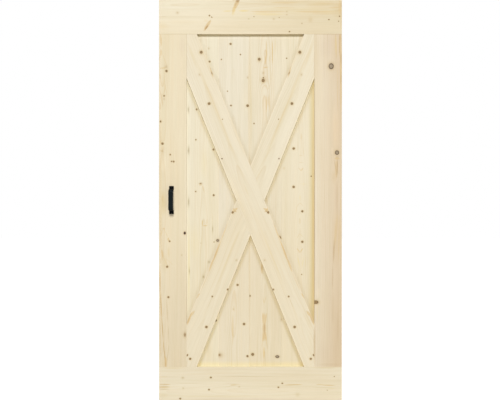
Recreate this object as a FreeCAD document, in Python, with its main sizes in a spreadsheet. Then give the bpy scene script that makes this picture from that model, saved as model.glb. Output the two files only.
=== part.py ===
import FreeCAD, Part
import math
import os
import Sketcher

# Framed ledged and braced door leaf, in millimetres.
#
# Frame of the part: the origin is the centre of the leaf's top edge, which is
# the face it hangs from. +X runs to the right as the leaf is seen from the
# front, +Y runs from the front face to the back face, +Z is up. The leaf fills
# z = -2040 to 0, x = -465 to 465 and y = -20 to 20, and the pull stands out of
# the front face, towards -Y.
#
# Construction: two rails run over the full width, two stiles are tenoned
# between them, and the four members are grooved for an upright panel of
# tongued and grooved boards. An X of flat braces is let in on each face of the
# panel, flush with the frame. One brace is unbroken and the other is two
# halves that butt against it.

doc = FreeCAD.newDocument("ledged_and_braced_door")

# ---------------------------------------------------------------- sizes
SIZES = [
    ("leaf_width", 930.0, "overall width"),
    ("leaf_height", 2040.0, "overall height"),
    ("leaf_thick", 40.0, "thickness of frame members"),
    ("rail_height", 174.0, "height of top and bottom rail"),
    ("stile_width", 140.0, "width of each stile"),
    ("panel_thick", 18.0, "thickness of panel boards"),
    ("groove_depth", 12.0, "depth of the panel groove in the frame"),
    ("panel_bite", 10.0, "how far the panel enters the groove"),
    ("tenon_width", 90.0, "width of a stile's tenon"),
    ("tenon_length", 60.0, "length of a stile's tenon"),
    ("tenon_inset", 25.0, "outer edge of the stile to the tenon"),
    ("mortise_spare", 2.0, "glue space below the tenon"),
    ("joint_left", 163.6, "first board joint, left of centre"),
    ("joint_middle", 4.6, "middle board joint, left of centre"),
    ("joint_right", 157.0, "last board joint, right of centre"),
    ("tongue_thick", 6.0, "thickness of a board's tongue"),
    ("tongue_length", 8.0, "length of a board's tongue"),
    ("tongue_play", 0.3, "play round the tongue, on thickness and length"),
    ("vee_middle", 2.0, "chamfer beside the middle joint"),
    ("vee_side", 0.6, "chamfer beside the other joints"),
    ("brace_angle", 22.15, "lean of the braces from upright, in degrees"),
    ("brace_width", 132.0, "width of a brace, square to its length"),
    ("edge_ease", 1.5, "chamfer round the outside of the leaf"),
    ("pull_inset", 63.7, "left edge of the leaf to the pull's centre line"),
    ("pull_height", 1018.0, "top of the leaf to the middle of the pull"),
    ("pull_width", 24.0, "width of the strap"),
    ("pull_thick", 5.0, "thickness of the strap at its crown"),
    ("pull_edge", 2.4, "thickness of the strap at its edges"),
    ("pull_length", 142.0, "overall length of the pull"),
    ("pull_standoff", 38.0, "front face of the leaf to the grip's crown"),
    ("pull_foot_corner", 55.5, "middle of the pull to the bend at a foot"),
    ("pull_grip_corner", 46.6, "middle of the pull to the bend at the grip"),
    ("pull_foot_bend", 6.0, "bend radius at a foot, to the strap's back line"),
    ("pull_grip_bend", 9.0, "bend radius at the grip, to the strap's back line"),
    ("screw_from_middle", 64.6, "middle of the pull to a screw"),
    ("screw_head", 7.6, "diameter of a countersunk screw head"),
    ("screw_shank", 3.8, "diameter of a screw's shank"),
    ("screw_length", 30.0, "length of a screw"),
    ("screw_slot_width", 0.9, "width of the cross recess"),
    ("screw_slot_length", 4.2, "length of the cross recess"),
    ("screw_slot_depth", 1.4, "depth of the cross recess"),
    ("screw_play", 0.1, "play round the shank, on the diameter"),
]
sheet = doc.addObject("Spreadsheet::Sheet", "Sizes")
for row, (alias, number, note) in enumerate(SIZES, start=1):
    sheet.set("A%d" % row, alias)
    sheet.set("B%d" % row, str(number))
    sheet.set("C%d" % row, note)
    sheet.setAlias("B%d" % row, alias)
doc.recompute()


class Size:
    """A number together with the formula that binds it to the sheet."""

    def __init__(self, value, formula):
        self.value = float(value)
        self.formula = formula

    @staticmethod
    def of(other):
        if isinstance(other, Size):
            return other
        return Size(other, repr(float(other)))

    def __add__(self, other):
        other = Size.of(other)
        return Size(self.value + other.value, "(%s + %s)" % (self.formula, other.formula))

    def __radd__(self, other):
        return Size.of(other) + self

    def __sub__(self, other):
        other = Size.of(other)
        return Size(self.value - other.value, "(%s - %s)" % (self.formula, other.formula))

    def __rsub__(self, other):
        return Size.of(other) - self

    def __mul__(self, other):
        other = Size.of(other)
        return Size(self.value * other.value, "(%s * %s)" % (self.formula, other.formula))

    def __rmul__(self, other):
        return Size.of(other) * self

    def __truediv__(self, other):
        other = Size.of(other)
        return Size(self.value / other.value, "(%s / %s)" % (self.formula, other.formula))

    def __neg__(self):
        return Size(-self.value, "(0 - %s)" % self.formula)


def size(alias):
    return Size(float(sheet.get(alias)), "Sizes.%s" % alias)


def sine(angle):
    return Size(math.sin(math.radians(angle.value)), "sin(%s * 1 deg)" % angle.formula)


def cosine(angle):
    return Size(math.cos(math.radians(angle.value)), "cos(%s * 1 deg)" % angle.formula)


def tangent(angle):
    return Size(math.tan(math.radians(angle.value)), "tan(%s * 1 deg)" % angle.formula)


leaf_width = size("leaf_width")
leaf_height = size("leaf_height")
leaf_thick = size("leaf_thick")
rail_height = size("rail_height")
stile_width = size("stile_width")
panel_thick = size("panel_thick")
groove_depth = size("groove_depth")
panel_bite = size("panel_bite")
tenon_width = size("tenon_width")
tenon_length = size("tenon_length")
tenon_inset = size("tenon_inset")
mortise_spare = size("mortise_spare")

half_width = leaf_width / 2            # 465
half_thick = leaf_thick / 2            # 20
half_panel = panel_thick / 2           # 9
opening_half = half_width - stile_width        # 325
opening_height = leaf_height - 2 * rail_height  # 1692
brace_thick = half_thick - half_panel  # 11


# ---------------------------------------------------------------- helpers
def new_body(label):
    body = doc.addObject("PartDesign::Body", label)
    body.Label = label
    return body


def place(body, x=None, y=None, z=None):
    for axis, where in (("x", x), ("y", y), ("z", z)):
        if where is not None:
            body.setExpression("Placement.Base.%s" % axis, where.formula)


def plane_of(body, role):
    for feature in body.Origin.OriginFeatures:
        if feature.Role == role:
            return feature
    raise ValueError("no plane " + role)


def new_sketch(body, name, role, lift=None):
    sketch = body.newObject("Sketcher::SketchObject", name)
    sketch.AttachmentSupport = [(plane_of(body, role), "")]
    sketch.MapMode = "FlatFace"
    if lift is not None:
        sketch.AttachmentOffset = FreeCAD.Placement(
            FreeCAD.Vector(0, 0, lift.value), FreeCAD.Rotation())
        sketch.setExpression("AttachmentOffset.Base.z", lift.formula)
    return sketch


def pin(sketch, geo, end, x, y, name):
    """Holds one point of a sketch at (x, y), each bound to its formula."""
    for letter, kind, axis, where in (("x", "DistanceX", -2, x), ("y", "DistanceY", -1, y)):
        where = Size.of(where)
        if abs(where.value) < 1e-9:
            sketch.addConstraint(Sketcher.Constraint("PointOnObject", geo, end, axis))
            continue
        if where.value > 0:
            rule = Sketcher.Constraint(kind, -1, 1, geo, end, where.value)
        else:
            rule = Sketcher.Constraint(kind, geo, end, -1, 1, -where.value)
            where = -where
        index = sketch.addConstraint(rule)
        sketch.renameConstraint(index, "%s_%s" % (name, letter))
        sketch.setExpression("Constraints.%s_%s" % (name, letter), where.formula)


def polygon(sketch, points, prefix="p"):
    """A closed outline, every corner pinned."""
    points = [(Size.of(x), Size.of(y)) for x, y in points]
    first = sketch.GeometryCount
    count = len(points)
    for i in range(count):
        a, b = points[i], points[(i + 1) % count]
        sketch.addGeometry(Part.LineSegment(
            FreeCAD.Vector(a[0].value, a[1].value, 0),
            FreeCAD.Vector(b[0].value, b[1].value, 0)), False)
    for i in range(count):
        sketch.addConstraint(Sketcher.Constraint(
            "Coincident", first + i, 2, first + (i + 1) % count, 1))
    for i in range(count):
        pin(sketch, first + i, 1, points[i][0], points[i][1], "%s%d" % (prefix, i))


def rectangle(sketch, x0, y0, x1, y1, prefix="p"):
    polygon(sketch, [(x0, y0), (x1, y0), (x1, y1), (x0, y1)], prefix)


def pad(body, sketch, length, reverse=False, midplane=False):
    feature = body.newObject("PartDesign::Pad", "Pad_" + sketch.Name)
    feature.Profile = sketch
    feature.Length = length.value
    feature.setExpression("Length", length.formula)
    feature.Reversed = reverse
    feature.Midplane = midplane
    doc.recompute()
    return feature


def pocket(body, sketch, length=None, reverse=False):
    before = body.Shape.Volume
    feature = body.newObject("PartDesign::Pocket", "Pocket_" + sketch.Name)
    feature.Profile = sketch
    feature.Reversed = reverse
    if length is None:
        feature.Type = 1
    else:
        feature.Length = length.value
        feature.setExpression("Length", length.formula)
    doc.recompute()
    if not body.Shape.Volume < before - 1e-3:
        raise ValueError("%s cuts nothing" % feature.Name)
    return feature


def edges_where(feature, test):
    names = []
    for i, edge in enumerate(feature.Shape.Edges, start=1):
        if len(edge.Vertexes) == 2 and test(edge.Vertexes[0].Point, edge.Vertexes[1].Point, edge):
            names.append("Edge%d" % i)
    return names


def near(a, b, slack=1e-4):
    return abs(a - b) < slack


def ease(body, feature, test, amount, kind="Chamfer"):
    """Chamfers or rounds the edges of the last feature that pass the test."""
    names = edges_where(feature, test)
    if not names:
        raise ValueError("no edge found on %s" % feature.Name)
    result = body.newObject("PartDesign::" + kind, kind + "_" + feature.Name)
    result.Base = (feature, names)
    if kind == "Chamfer":
        result.Size = amount.value
        result.setExpression("Size", amount.formula)
    else:
        result.Radius = amount.value
        result.setExpression("Radius", amount.formula)
    doc.recompute()
    return result


parts = []

# ---------------------------------------------------------------- rails
# Each rail is a full-width board. Its inner edge carries the panel groove and,
# outside it, a mortise for each stile.
edge_ease = size("edge_ease")
groove_half = opening_half + groove_depth
mortise_outer = half_width - tenon_inset
mortise_inner = mortise_outer - tenon_width


def make_rail(label, top):
    body = new_body(label)
    sketch = new_sketch(body, label + "_section", "XY_Plane")
    rectangle(sketch, -half_width, -half_thick, half_width, half_thick)
    # local z = 0 is the inner edge; the top rail grows up, the bottom rail down
    blank = pad(body, sketch, rail_height, reverse=not top)

    groove = new_sketch(body, label + "_groove", "XY_Plane")
    rectangle(groove, -groove_half, -half_panel, groove_half, half_panel)
    pocket(body, groove, groove_depth, reverse=top)

    mortises = new_sketch(body, label + "_mortises", "XY_Plane")
    rectangle(mortises, -mortise_outer, -half_panel, -mortise_inner, half_panel, "l")
    rectangle(mortises, mortise_inner, -half_panel, mortise_outer, half_panel, "r")
    last = pocket(body, mortises, tenon_length + mortise_spare, reverse=top)

    # the outside arrises: the long outer edges and the four at the ends
    outer = rail_height.value if top else -rail_height.value

    def is_outer(a, b, edge):
        on_face = near(abs(a.y), half_thick.value) and near(abs(b.y), half_thick.value)
        on_end = near(abs(a.x), half_width.value) and near(abs(b.x), half_width.value)
        long_edge = near(a.z, outer) and near(b.z, outer)
        return (long_edge and (on_face or on_end)) or (on_end and on_face and near(a.x, b.x))

    ease(body, last, is_outer, edge_ease)
    place(body, z=-rail_height if top else rail_height - leaf_height)
    parts.append(body)
    return body


make_rail("top_rail", True)
make_rail("bottom_rail", False)

# ---------------------------------------------------------------- stiles
# A stile is butted between the rails, with a tenon at each end as thick as the
# panel groove is wide, and the groove along its inner edge.
pull_inset = size("pull_inset")
pull_height = size("pull_height")
screw_from_middle = size("screw_from_middle")
screw_shank = size("screw_shank")
screw_length = size("screw_length")
screw_play = size("screw_play")
pull_x = pull_inset - half_width
pull_z = -pull_height


def make_stile(label, side):
    body = new_body(label)
    # local origin: the middle of the opening's side, at mid height
    outer = side * stile_width
    x_low, x_high = (outer, Size.of(0.0)) if side < 0 else (Size.of(0.0), outer)
    sketch = new_sketch(body, label + "_section", "XY_Plane")
    rectangle(sketch, x_low, -half_thick, x_high, half_thick)
    blank = pad(body, sketch, opening_height, midplane=True)

    # tenons at both ends, from one outline padded right through
    tenon_out = side * (stile_width - tenon_inset)
    tenon_in = side * (stile_width - tenon_inset - tenon_width)
    lo, hi = (tenon_out, tenon_in) if side < 0 else (tenon_in, tenon_out)
    tenon = new_sketch(body, label + "_tenon", "XY_Plane")
    rectangle(tenon, lo, -half_panel, hi, half_panel)
    pad(body, tenon, opening_height + 2 * tenon_length, midplane=True)

    groove = new_sketch(body, label + "_groove", "XY_Plane")
    deep = side * groove_depth
    lo, hi = (deep, Size.of(0.0)) if side < 0 else (Size.of(0.0), deep)
    rectangle(groove, lo, -half_panel, hi, half_panel)
    before = body.Shape.Volume
    cut = body.newObject("PartDesign::Pocket", "Pocket_" + groove.Name)
    cut.Profile = groove
    cut.Midplane = True
    cut.Length = opening_height.value + 1.0
    cut.setExpression("Length", (opening_height + 1.0).formula)
    doc.recompute()
    if not body.Shape.Volume < before - 1e-3:
        raise ValueError("the groove of %s cuts nothing" % label)
    last = cut

    def is_outer(a, b, edge):
        return (near(a.x, outer.value) and near(b.x, outer.value)
                and near(abs(a.y), half_thick.value) and near(abs(b.y), half_thick.value)
                and near(a.y, b.y))

    last = ease(body, last, is_outer, edge_ease)

    if side < 0:
        # the two pilot holes for the pull's screws, bored from the front face
        holes = new_sketch(body, label + "_pilot_holes", "XZ_Plane", lift=half_thick)
        offset_x = pull_x + opening_half
        for name, sign in (("upper", 1), ("lower", -1)):
            centre_z = pull_z + leaf_height / 2 + sign * screw_from_middle
            circle = holes.addGeometry(Part.Circle(
                FreeCAD.Vector(offset_x.value, centre_z.value, 0),
                FreeCAD.Vector(0, 0, 1), (screw_shank.value + screw_play.value) / 2), False)
            pin(holes, circle, 3, offset_x, centre_z, name)
            index = holes.addConstraint(Sketcher.Constraint(
                "Diameter", circle, screw_shank.value + screw_play.value))
            holes.renameConstraint(index, name + "_bore")
            holes.setExpression("Constraints.%s_bore" % name, (screw_shank + screw_play).formula)
        doc.recompute()
        pocket(body, holes, screw_length)
    place(body, x=side * opening_half, z=-leaf_height / 2)
    parts.append(body)
    return body


make_stile("left_stile", -1)
make_stile("right_stile", 1)

# ---------------------------------------------------------------- panel
# Four upright boards. Each has a groove on its left edge and a tongue on its
# right edge, except where the edge stands in the frame. The arrises beside the
# joints are chamfered, the middle ones most.
tongue = size("tongue_thick") / 2
tongue_length = size("tongue_length")
play = size("tongue_play")
vee_middle = size("vee_middle")
vee_side = size("vee_side")
board_edge = opening_half + panel_bite
joints = [
    (-board_edge, None),
    (-size("joint_left"), vee_side),
    (-size("joint_middle"), vee_middle),
    (size("joint_right"), vee_side),
    (board_edge, None),
]
for number in range(1, 5):
    left, left_vee = joints[number - 1]
    right, right_vee = joints[number]
    outline = []
    # front face, then round by the right edge, the back face and the left edge
    if right_vee is None:
        right_side = [(right, -half_panel), (right, half_panel)]
    else:
        right_side = [
            (right - right_vee, -half_panel), (right, right_vee - half_panel),
            (right, -tongue), (right + tongue_length, -tongue),
            (right + tongue_length, tongue), (right, tongue),
            (right, half_panel - right_vee), (right - right_vee, half_panel),
        ]
    if left_vee is None:
        left_side = [(left, half_panel), (left, -half_panel)]
    else:
        slot = tongue + play / 2
        deep = left + tongue_length + play
        left_side = [
            (left + left_vee, half_panel), (left, half_panel - left_vee),
            (left, slot), (deep, slot), (deep, -slot), (left, -slot),
            (left, left_vee - half_panel), (left + left_vee, -half_panel),
        ]
    body = new_body("panel_board_%d" % number)
    sketch = new_sketch(body, "board_%d_section" % number, "XY_Plane")
    polygon(sketch, right_side + left_side)
    pad(body, sketch, opening_height + 2 * panel_bite, midplane=True)
    place(body, z=-leaf_height / 2)
    parts.append(body)

# ---------------------------------------------------------------- braces
# Outlines in the plane of the leaf, about the middle of the opening. A brace is
# the strip of one width and lean that the opening cuts to length, so each end
# is a point with one cut along the rail and one along the stile.
lean = size("brace_angle")
half_brace = size("brace_width") / 2
top = opening_height / 2
side = opening_half
on_rail = top * tangent(lean) - half_brace / cosine(lean)      # inner edge meets rail
on_stile = (side * cosine(lean) - half_brace) / sine(lean)     # outer edge meets stile
notch = half_brace / cosine(lean)                              # edges cross at mid height
peak = half_brace / sine(lean)                                 # edges cross on the centre line

LONG = [(-side, top), (-side, on_stile), (on_rail, -top), (side, -top),
        (side, -on_stile), (-on_rail, top)]
UPPER = [(side, top), (on_rail, top), (Size.of(0.0), peak), (notch, Size.of(0.0)),
         (side, on_stile)]
LOWER = [(-side, -top), (-on_rail, -top), (Size.of(0.0), -peak), (-notch, Size.of(0.0)),
         (-side, -on_stile)]

for face, y_sign in (("front", -1), ("back", 1)):
    for piece, outline in (("brace_long", LONG), ("brace_upper_half", UPPER),
                           ("brace_lower_half", LOWER)):
        # seen from behind, the back braces lie the same way as the front ones
        # do from the front, so the outline is mirrored across the leaf
        points = outline if y_sign < 0 else [(-x, z) for x, z in outline]
        label = "%s_%s" % (face, piece)
        body = new_body(label)
        sketch = new_sketch(body, label + "_outline", "XZ_Plane")
        polygon(sketch, points)
        pad(body, sketch, brace_thick, reverse=y_sign > 0)
        place(body, y=y_sign * half_panel, z=-leaf_height / 2)
        parts.append(body)

# ---------------------------------------------------------------- pull
# A strap with a crowned front, bent twice at each end, and screwed through its
# two feet. Its section is swept along the strap's back line. Local origin: on
# the stile's face, at the middle of the pull.
pull_width = size("pull_width")
pull_thick = size("pull_thick")
pull_edge = size("pull_edge")
pull_half = size("pull_length") / 2
standoff = size("pull_standoff")
foot_corner = size("pull_foot_corner")
grip_corner = size("pull_grip_corner")
foot_bend = size("pull_foot_bend")
grip_bend = size("pull_grip_bend")
back_line = standoff - pull_thick      # how far the grip's back stands off

pull = new_body("pull_handle")
path = new_sketch(pull, "pull_path", "YZ_Plane")
# sketch x is the part's y, sketch y is the part's z
corners = [(0.0, pull_half.value), (0.0, foot_corner.value),
           (-back_line.value, grip_corner.value), (-back_line.value, -grip_corner.value),
           (0.0, -foot_corner.value), (0.0, -pull_half.value)]
bends = [None, foot_bend, grip_bend, grip_bend, foot_bend, None]
here = [FreeCAD.Vector(x, y, 0) for x, y in corners]
starts, ends, arcs = {}, {}, {}
starts[0] = here[0]
for i in range(1, 5):
    back = (here[i - 1] - here[i]).normalize()
    on = (here[i + 1] - here[i]).normalize()
    turn = math.acos(max(-1.0, min(1.0, back.dot(on))))
    radius = bends[i].value
    reach = radius / math.tan(turn / 2)
    ends[i - 1] = here[i] + back * reach
    starts[i] = here[i] + on * reach
    centre = here[i] + (back + on).normalize() * (radius / math.sin(turn / 2))
    # the arc runs anticlockwise, whichever way the strap turns
    first = math.atan2(ends[i - 1].y - centre.y, ends[i - 1].x - centre.x)
    second = math.atan2(starts[i].y - centre.y, starts[i].x - centre.x)
    if (second - first) % (2 * math.pi) > math.pi:
        first, second = second, first
    if second < first:
        second += 2 * math.pi
    arcs[i] = Part.ArcOfCircle(
        Part.Circle(centre, FreeCAD.Vector(0, 0, 1), radius), first, second)
ends[4] = here[5]
runs = []
curves = []
for i in range(5):
    runs.append(path.addGeometry(Part.LineSegment(starts[i], ends[i]), False))
    if i < 4:
        curves.append(path.addGeometry(arcs[i + 1], False))


def end_near(geo, point):
    shape = path.Geometry[geo]
    a = shape.StartPoint if hasattr(shape, "StartPoint") else shape.value(shape.FirstParameter)
    return 1 if (a - point).Length < 1e-6 else 2


for i in range(4):
    path.addConstraint(Sketcher.Constraint(
        "Tangent", runs[i], 2, curves[i], end_near(curves[i], ends[i])))
    path.addConstraint(Sketcher.Constraint(
        "Tangent", curves[i], end_near(curves[i], starts[i + 1]), runs[i + 1], 1))
for i, radius in ((0, foot_bend), (1, grip_bend), (2, grip_bend), (3, foot_bend)):
    index = path.addConstraint(Sketcher.Constraint("Radius", curves[i], radius.value))
    path.renameConstraint(index, "bend_%d" % i)
    path.setExpression("Constraints.bend_%d" % i, radius.formula)
path.addConstraint(Sketcher.Constraint("Vertical", runs[2]))
pin(path, runs[0], 1, 0.0, pull_half, "top")
pin(path, runs[4], 2, 0.0, -pull_half, "low")
path.addConstraint(Sketcher.Constraint("Vertical", runs[0]))
path.addConstraint(Sketcher.Constraint("Vertical", runs[4]))
index = path.addConstraint(Sketcher.Constraint("DistanceX", runs[2], 1, -1, 1, back_line.value))
path.renameConstraint(index, "reach")
path.setExpression("Constraints.reach", back_line.formula)
# the legs are set by where their lines would cross the foot and the grip
helpers = []
for sign, leg in ((1, 1), (-1, 3)):
    at_foot = path.addGeometry(Part.Point(FreeCAD.Vector(0, sign * foot_corner.value, 0)), True)
    at_grip = path.addGeometry(Part.Point(
        FreeCAD.Vector(-back_line.value, sign * grip_corner.value, 0)), True)
    name = "upper" if sign > 0 else "lower"
    pin(path, at_foot, 1, 0.0, sign * foot_corner, name + "_foot")
    pin(path, at_grip, 1, -back_line, sign * grip_corner, name + "_grip")
    path.addConstraint(Sketcher.Constraint("PointOnObject", at_foot, 1, runs[leg]))
    path.addConstraint(Sketcher.Constraint("PointOnObject", at_grip, 1, runs[leg]))

# the strap's section at the upper end, flat behind and crowned in front
rise = pull_thick - pull_edge
crown = (pull_width * pull_width / 4 + rise * rise) / (2 * rise)
section = new_sketch(pull, "pull_section", "XY_Plane", lift=pull_half)
w, e, t = pull_width.value / 2, -pull_edge.value, -pull_thick.value
V = FreeCAD.Vector
section.addGeometry(Part.LineSegment(V(-w, 0, 0), V(w, 0, 0)), False)
section.addGeometry(Part.LineSegment(V(w, 0, 0), V(w, e, 0)), False)
hub = V(0, t + crown.value, 0)
section.addGeometry(Part.ArcOfCircle(
    Part.Circle(hub, V(0, 0, 1), crown.value),
    math.atan2(e - hub.y, -w) + 2 * math.pi, math.atan2(e - hub.y, w) + 2 * math.pi), False)
section.addGeometry(Part.LineSegment(V(-w, e, 0), V(-w, 0, 0)), False)
section.addConstraint(Sketcher.Constraint("Coincident", 0, 2, 1, 1))
section.addConstraint(Sketcher.Constraint("Coincident", 1, 2, 2, 2))
section.addConstraint(Sketcher.Constraint("Coincident", 2, 1, 3, 1))
section.addConstraint(Sketcher.Constraint("Coincident", 3, 2, 0, 1))
pin(section, 0, 1, -pull_width / 2, 0.0, "back_left")
pin(section, 0, 2, pull_width / 2, 0.0, "back_right")
pin(section, 1, 2, pull_width / 2, -pull_edge, "edge_right")
pin(section, 3, 1, -pull_width / 2, -pull_edge, "edge_left")
index = section.addConstraint(Sketcher.Constraint("Radius", 2, crown.value))
section.renameConstraint(index, "crown")
section.setExpression("Constraints.crown", crown.formula)
doc.recompute()

strap = pull.newObject("PartDesign::AdditivePipe", "pull_strap")
strap.Profile = section
strap.Spine = path
strap.Mode = "Standard"
doc.recompute()

# rounded corners at the ends of the feet
last = ease(pull, strap, lambda a, b, edge: (
    near(a.x, b.x) and near(abs(a.x), pull_width.value / 2)
    and near(abs(a.z), pull_half.value) and near(abs(b.z), pull_half.value)),
    Size.of(2.5), "Fillet")

# countersunk screw holes through the feet, bored from the crown
screw_head = size("screw_head")
holes = new_sketch(pull, "pull_holes", "XZ_Plane", lift=pull_thick)
for name, sign in (("upper", 1), ("lower", -1)):
    circle = holes.addGeometry(Part.Circle(
        V(0, sign * screw_from_middle.value, 0), V(0, 0, 1),
        (screw_shank.value + screw_play.value) / 2), False)
    pin(holes, circle, 3, 0.0, sign * screw_from_middle, name)
    index = holes.addConstraint(Sketcher.Constraint(
        "Diameter", circle, screw_shank.value + screw_play.value))
    holes.renameConstraint(index, name + "_bore")
    holes.setExpression("Constraints.%s_bore" % name, (screw_shank + screw_play).formula)
doc.recompute()
before = pull.Shape.Volume
bore = pull.newObject("PartDesign::Hole", "pull_bores")
bore.Profile = holes
doc.recompute()
bore.ThreadType = 0
bore.Diameter = screw_shank.value + screw_play.value
bore.setExpression("Diameter", (screw_shank + screw_play).formula)
bore.DepthType = 1
bore.HoleCutType = "Countersink"
bore.HoleCutCustomValues = True
bore.HoleCutDiameter = screw_head.value
bore.setExpression("HoleCutDiameter", screw_head.formula)
bore.HoleCutCountersinkAngle = 90
doc.recompute()
if not pull.Shape.Volume < before - 1.0:
    raise ValueError("the pull's holes cut nothing")
place(pull, x=pull_x, y=-half_thick, z=pull_z)
parts.append(pull)

# ---------------------------------------------------------------- screws
# Countersunk screws with a cross recess, turned about their own axis.
slot_width = size("screw_slot_width")
slot_length = size("screw_slot_length")
slot_depth = size("screw_slot_depth")
for label, sign in (("handle_screw_upper", 1), ("handle_screw_lower", -1)):
    body = new_body(label)
    # local origin: centre of the head's flat face; the screw points to +Y
    sketch = new_sketch(body, label + "_outline", "XY_Plane")
    head = screw_head / 2 - 0.05
    shank = screw_shank / 2
    cone = head - shank
    tip = screw_length
    polygon(sketch, [(0.0, 0.0), (head, 0.0), (shank, cone),
                     (shank, tip - 4.0), (0.3, tip), (0.0, tip)])
    turned = body.newObject("PartDesign::Revolution", label + "_turned")
    turned.Profile = sketch
    turned.ReferenceAxis = (sketch, ["V_Axis"])
    turned.Angle = 360.0
    doc.recompute()
    cross = new_sketch(body, label + "_recess", "XZ_Plane")
    a, b = slot_length / 2, slot_width / 2
    polygon(cross, [(b, b), (a, b), (a, -b), (b, -b), (b, -a), (-b, -a),
                    (-b, -b), (-a, -b), (-a, b), (-b, b), (-b, a), (b, a)])
    doc.recompute()
    pocket(body, cross, slot_depth)
    place(body, x=pull_x, y=-(half_thick + pull_thick), z=pull_z + sign * screw_from_middle)
    parts.append(body)

# ---------------------------------------------------------------- checks
doc.recompute()
for obj in doc.Objects:
    for word in obj.State:
        if word in ("Invalid", "Error"):
            raise ValueError("%s is %s" % (obj.Label, word))
for body in parts:
    shape = body.Shape
    if shape.isNull() or not shape.isValid() or len(shape.Solids) != 1:
        raise ValueError("%s has no valid single solid" % body.Label)

os.makedirs("parts", exist_ok=True)
for body in parts:
    body.Shape.exportStep("parts/%s.step" % body.Label)
    box = body.Shape.optimalBoundingBox()
    print("%-26s x %8.1f %8.1f  y %7.1f %7.1f  z %8.1f %8.1f  %10.0f mm3" % (
        body.Label, box.XMin, box.XMax, box.YMin, box.YMax, box.ZMin, box.ZMax,
        body.Shape.Volume))
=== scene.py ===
import math

import bpy
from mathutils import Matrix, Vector

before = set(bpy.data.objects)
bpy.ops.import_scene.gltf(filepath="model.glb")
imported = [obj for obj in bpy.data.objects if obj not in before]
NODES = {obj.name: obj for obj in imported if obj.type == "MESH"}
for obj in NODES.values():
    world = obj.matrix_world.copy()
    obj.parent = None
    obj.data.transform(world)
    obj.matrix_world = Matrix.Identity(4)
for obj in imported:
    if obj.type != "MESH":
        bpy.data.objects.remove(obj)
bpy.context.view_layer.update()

# ------------------------------------------------------------------ places
# Features of the timber are given by place and size, in the 500 x 400 view of the
# front. They were set one by one, and most knots were then refined by measurement.
MM_PX = 0.930 / 183.0
CENTRE_PX = (250.45, 200.45)
CENTRE_Z = -1.020
LEAN = math.radians(22.15)


REACH = 3.30
EYE = (-0.45 * MM_PX, CENTRE_Z + 0.45 * MM_PX)


def spot(px, py, depth=0.0):
    """A place in the front view as (x, z) in metres, at a depth behind the front face."""
    x, z = (px - CENTRE_PX[0]) * MM_PX, CENTRE_Z - (py - CENTRE_PX[1]) * MM_PX
    wide = (REACH + depth) / REACH
    return EYE[0] + (x - EYE[0]) * wide, EYE[1] + (z - EYE[1]) * wide


def linear(r, g, b):
    out = []
    for c in (r, g, b):
        c = c / 255.0
        out.append(c / 12.92 if c <= 0.04045 else ((c + 0.055) / 1.055) ** 2.4)
    return tuple(out)


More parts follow.
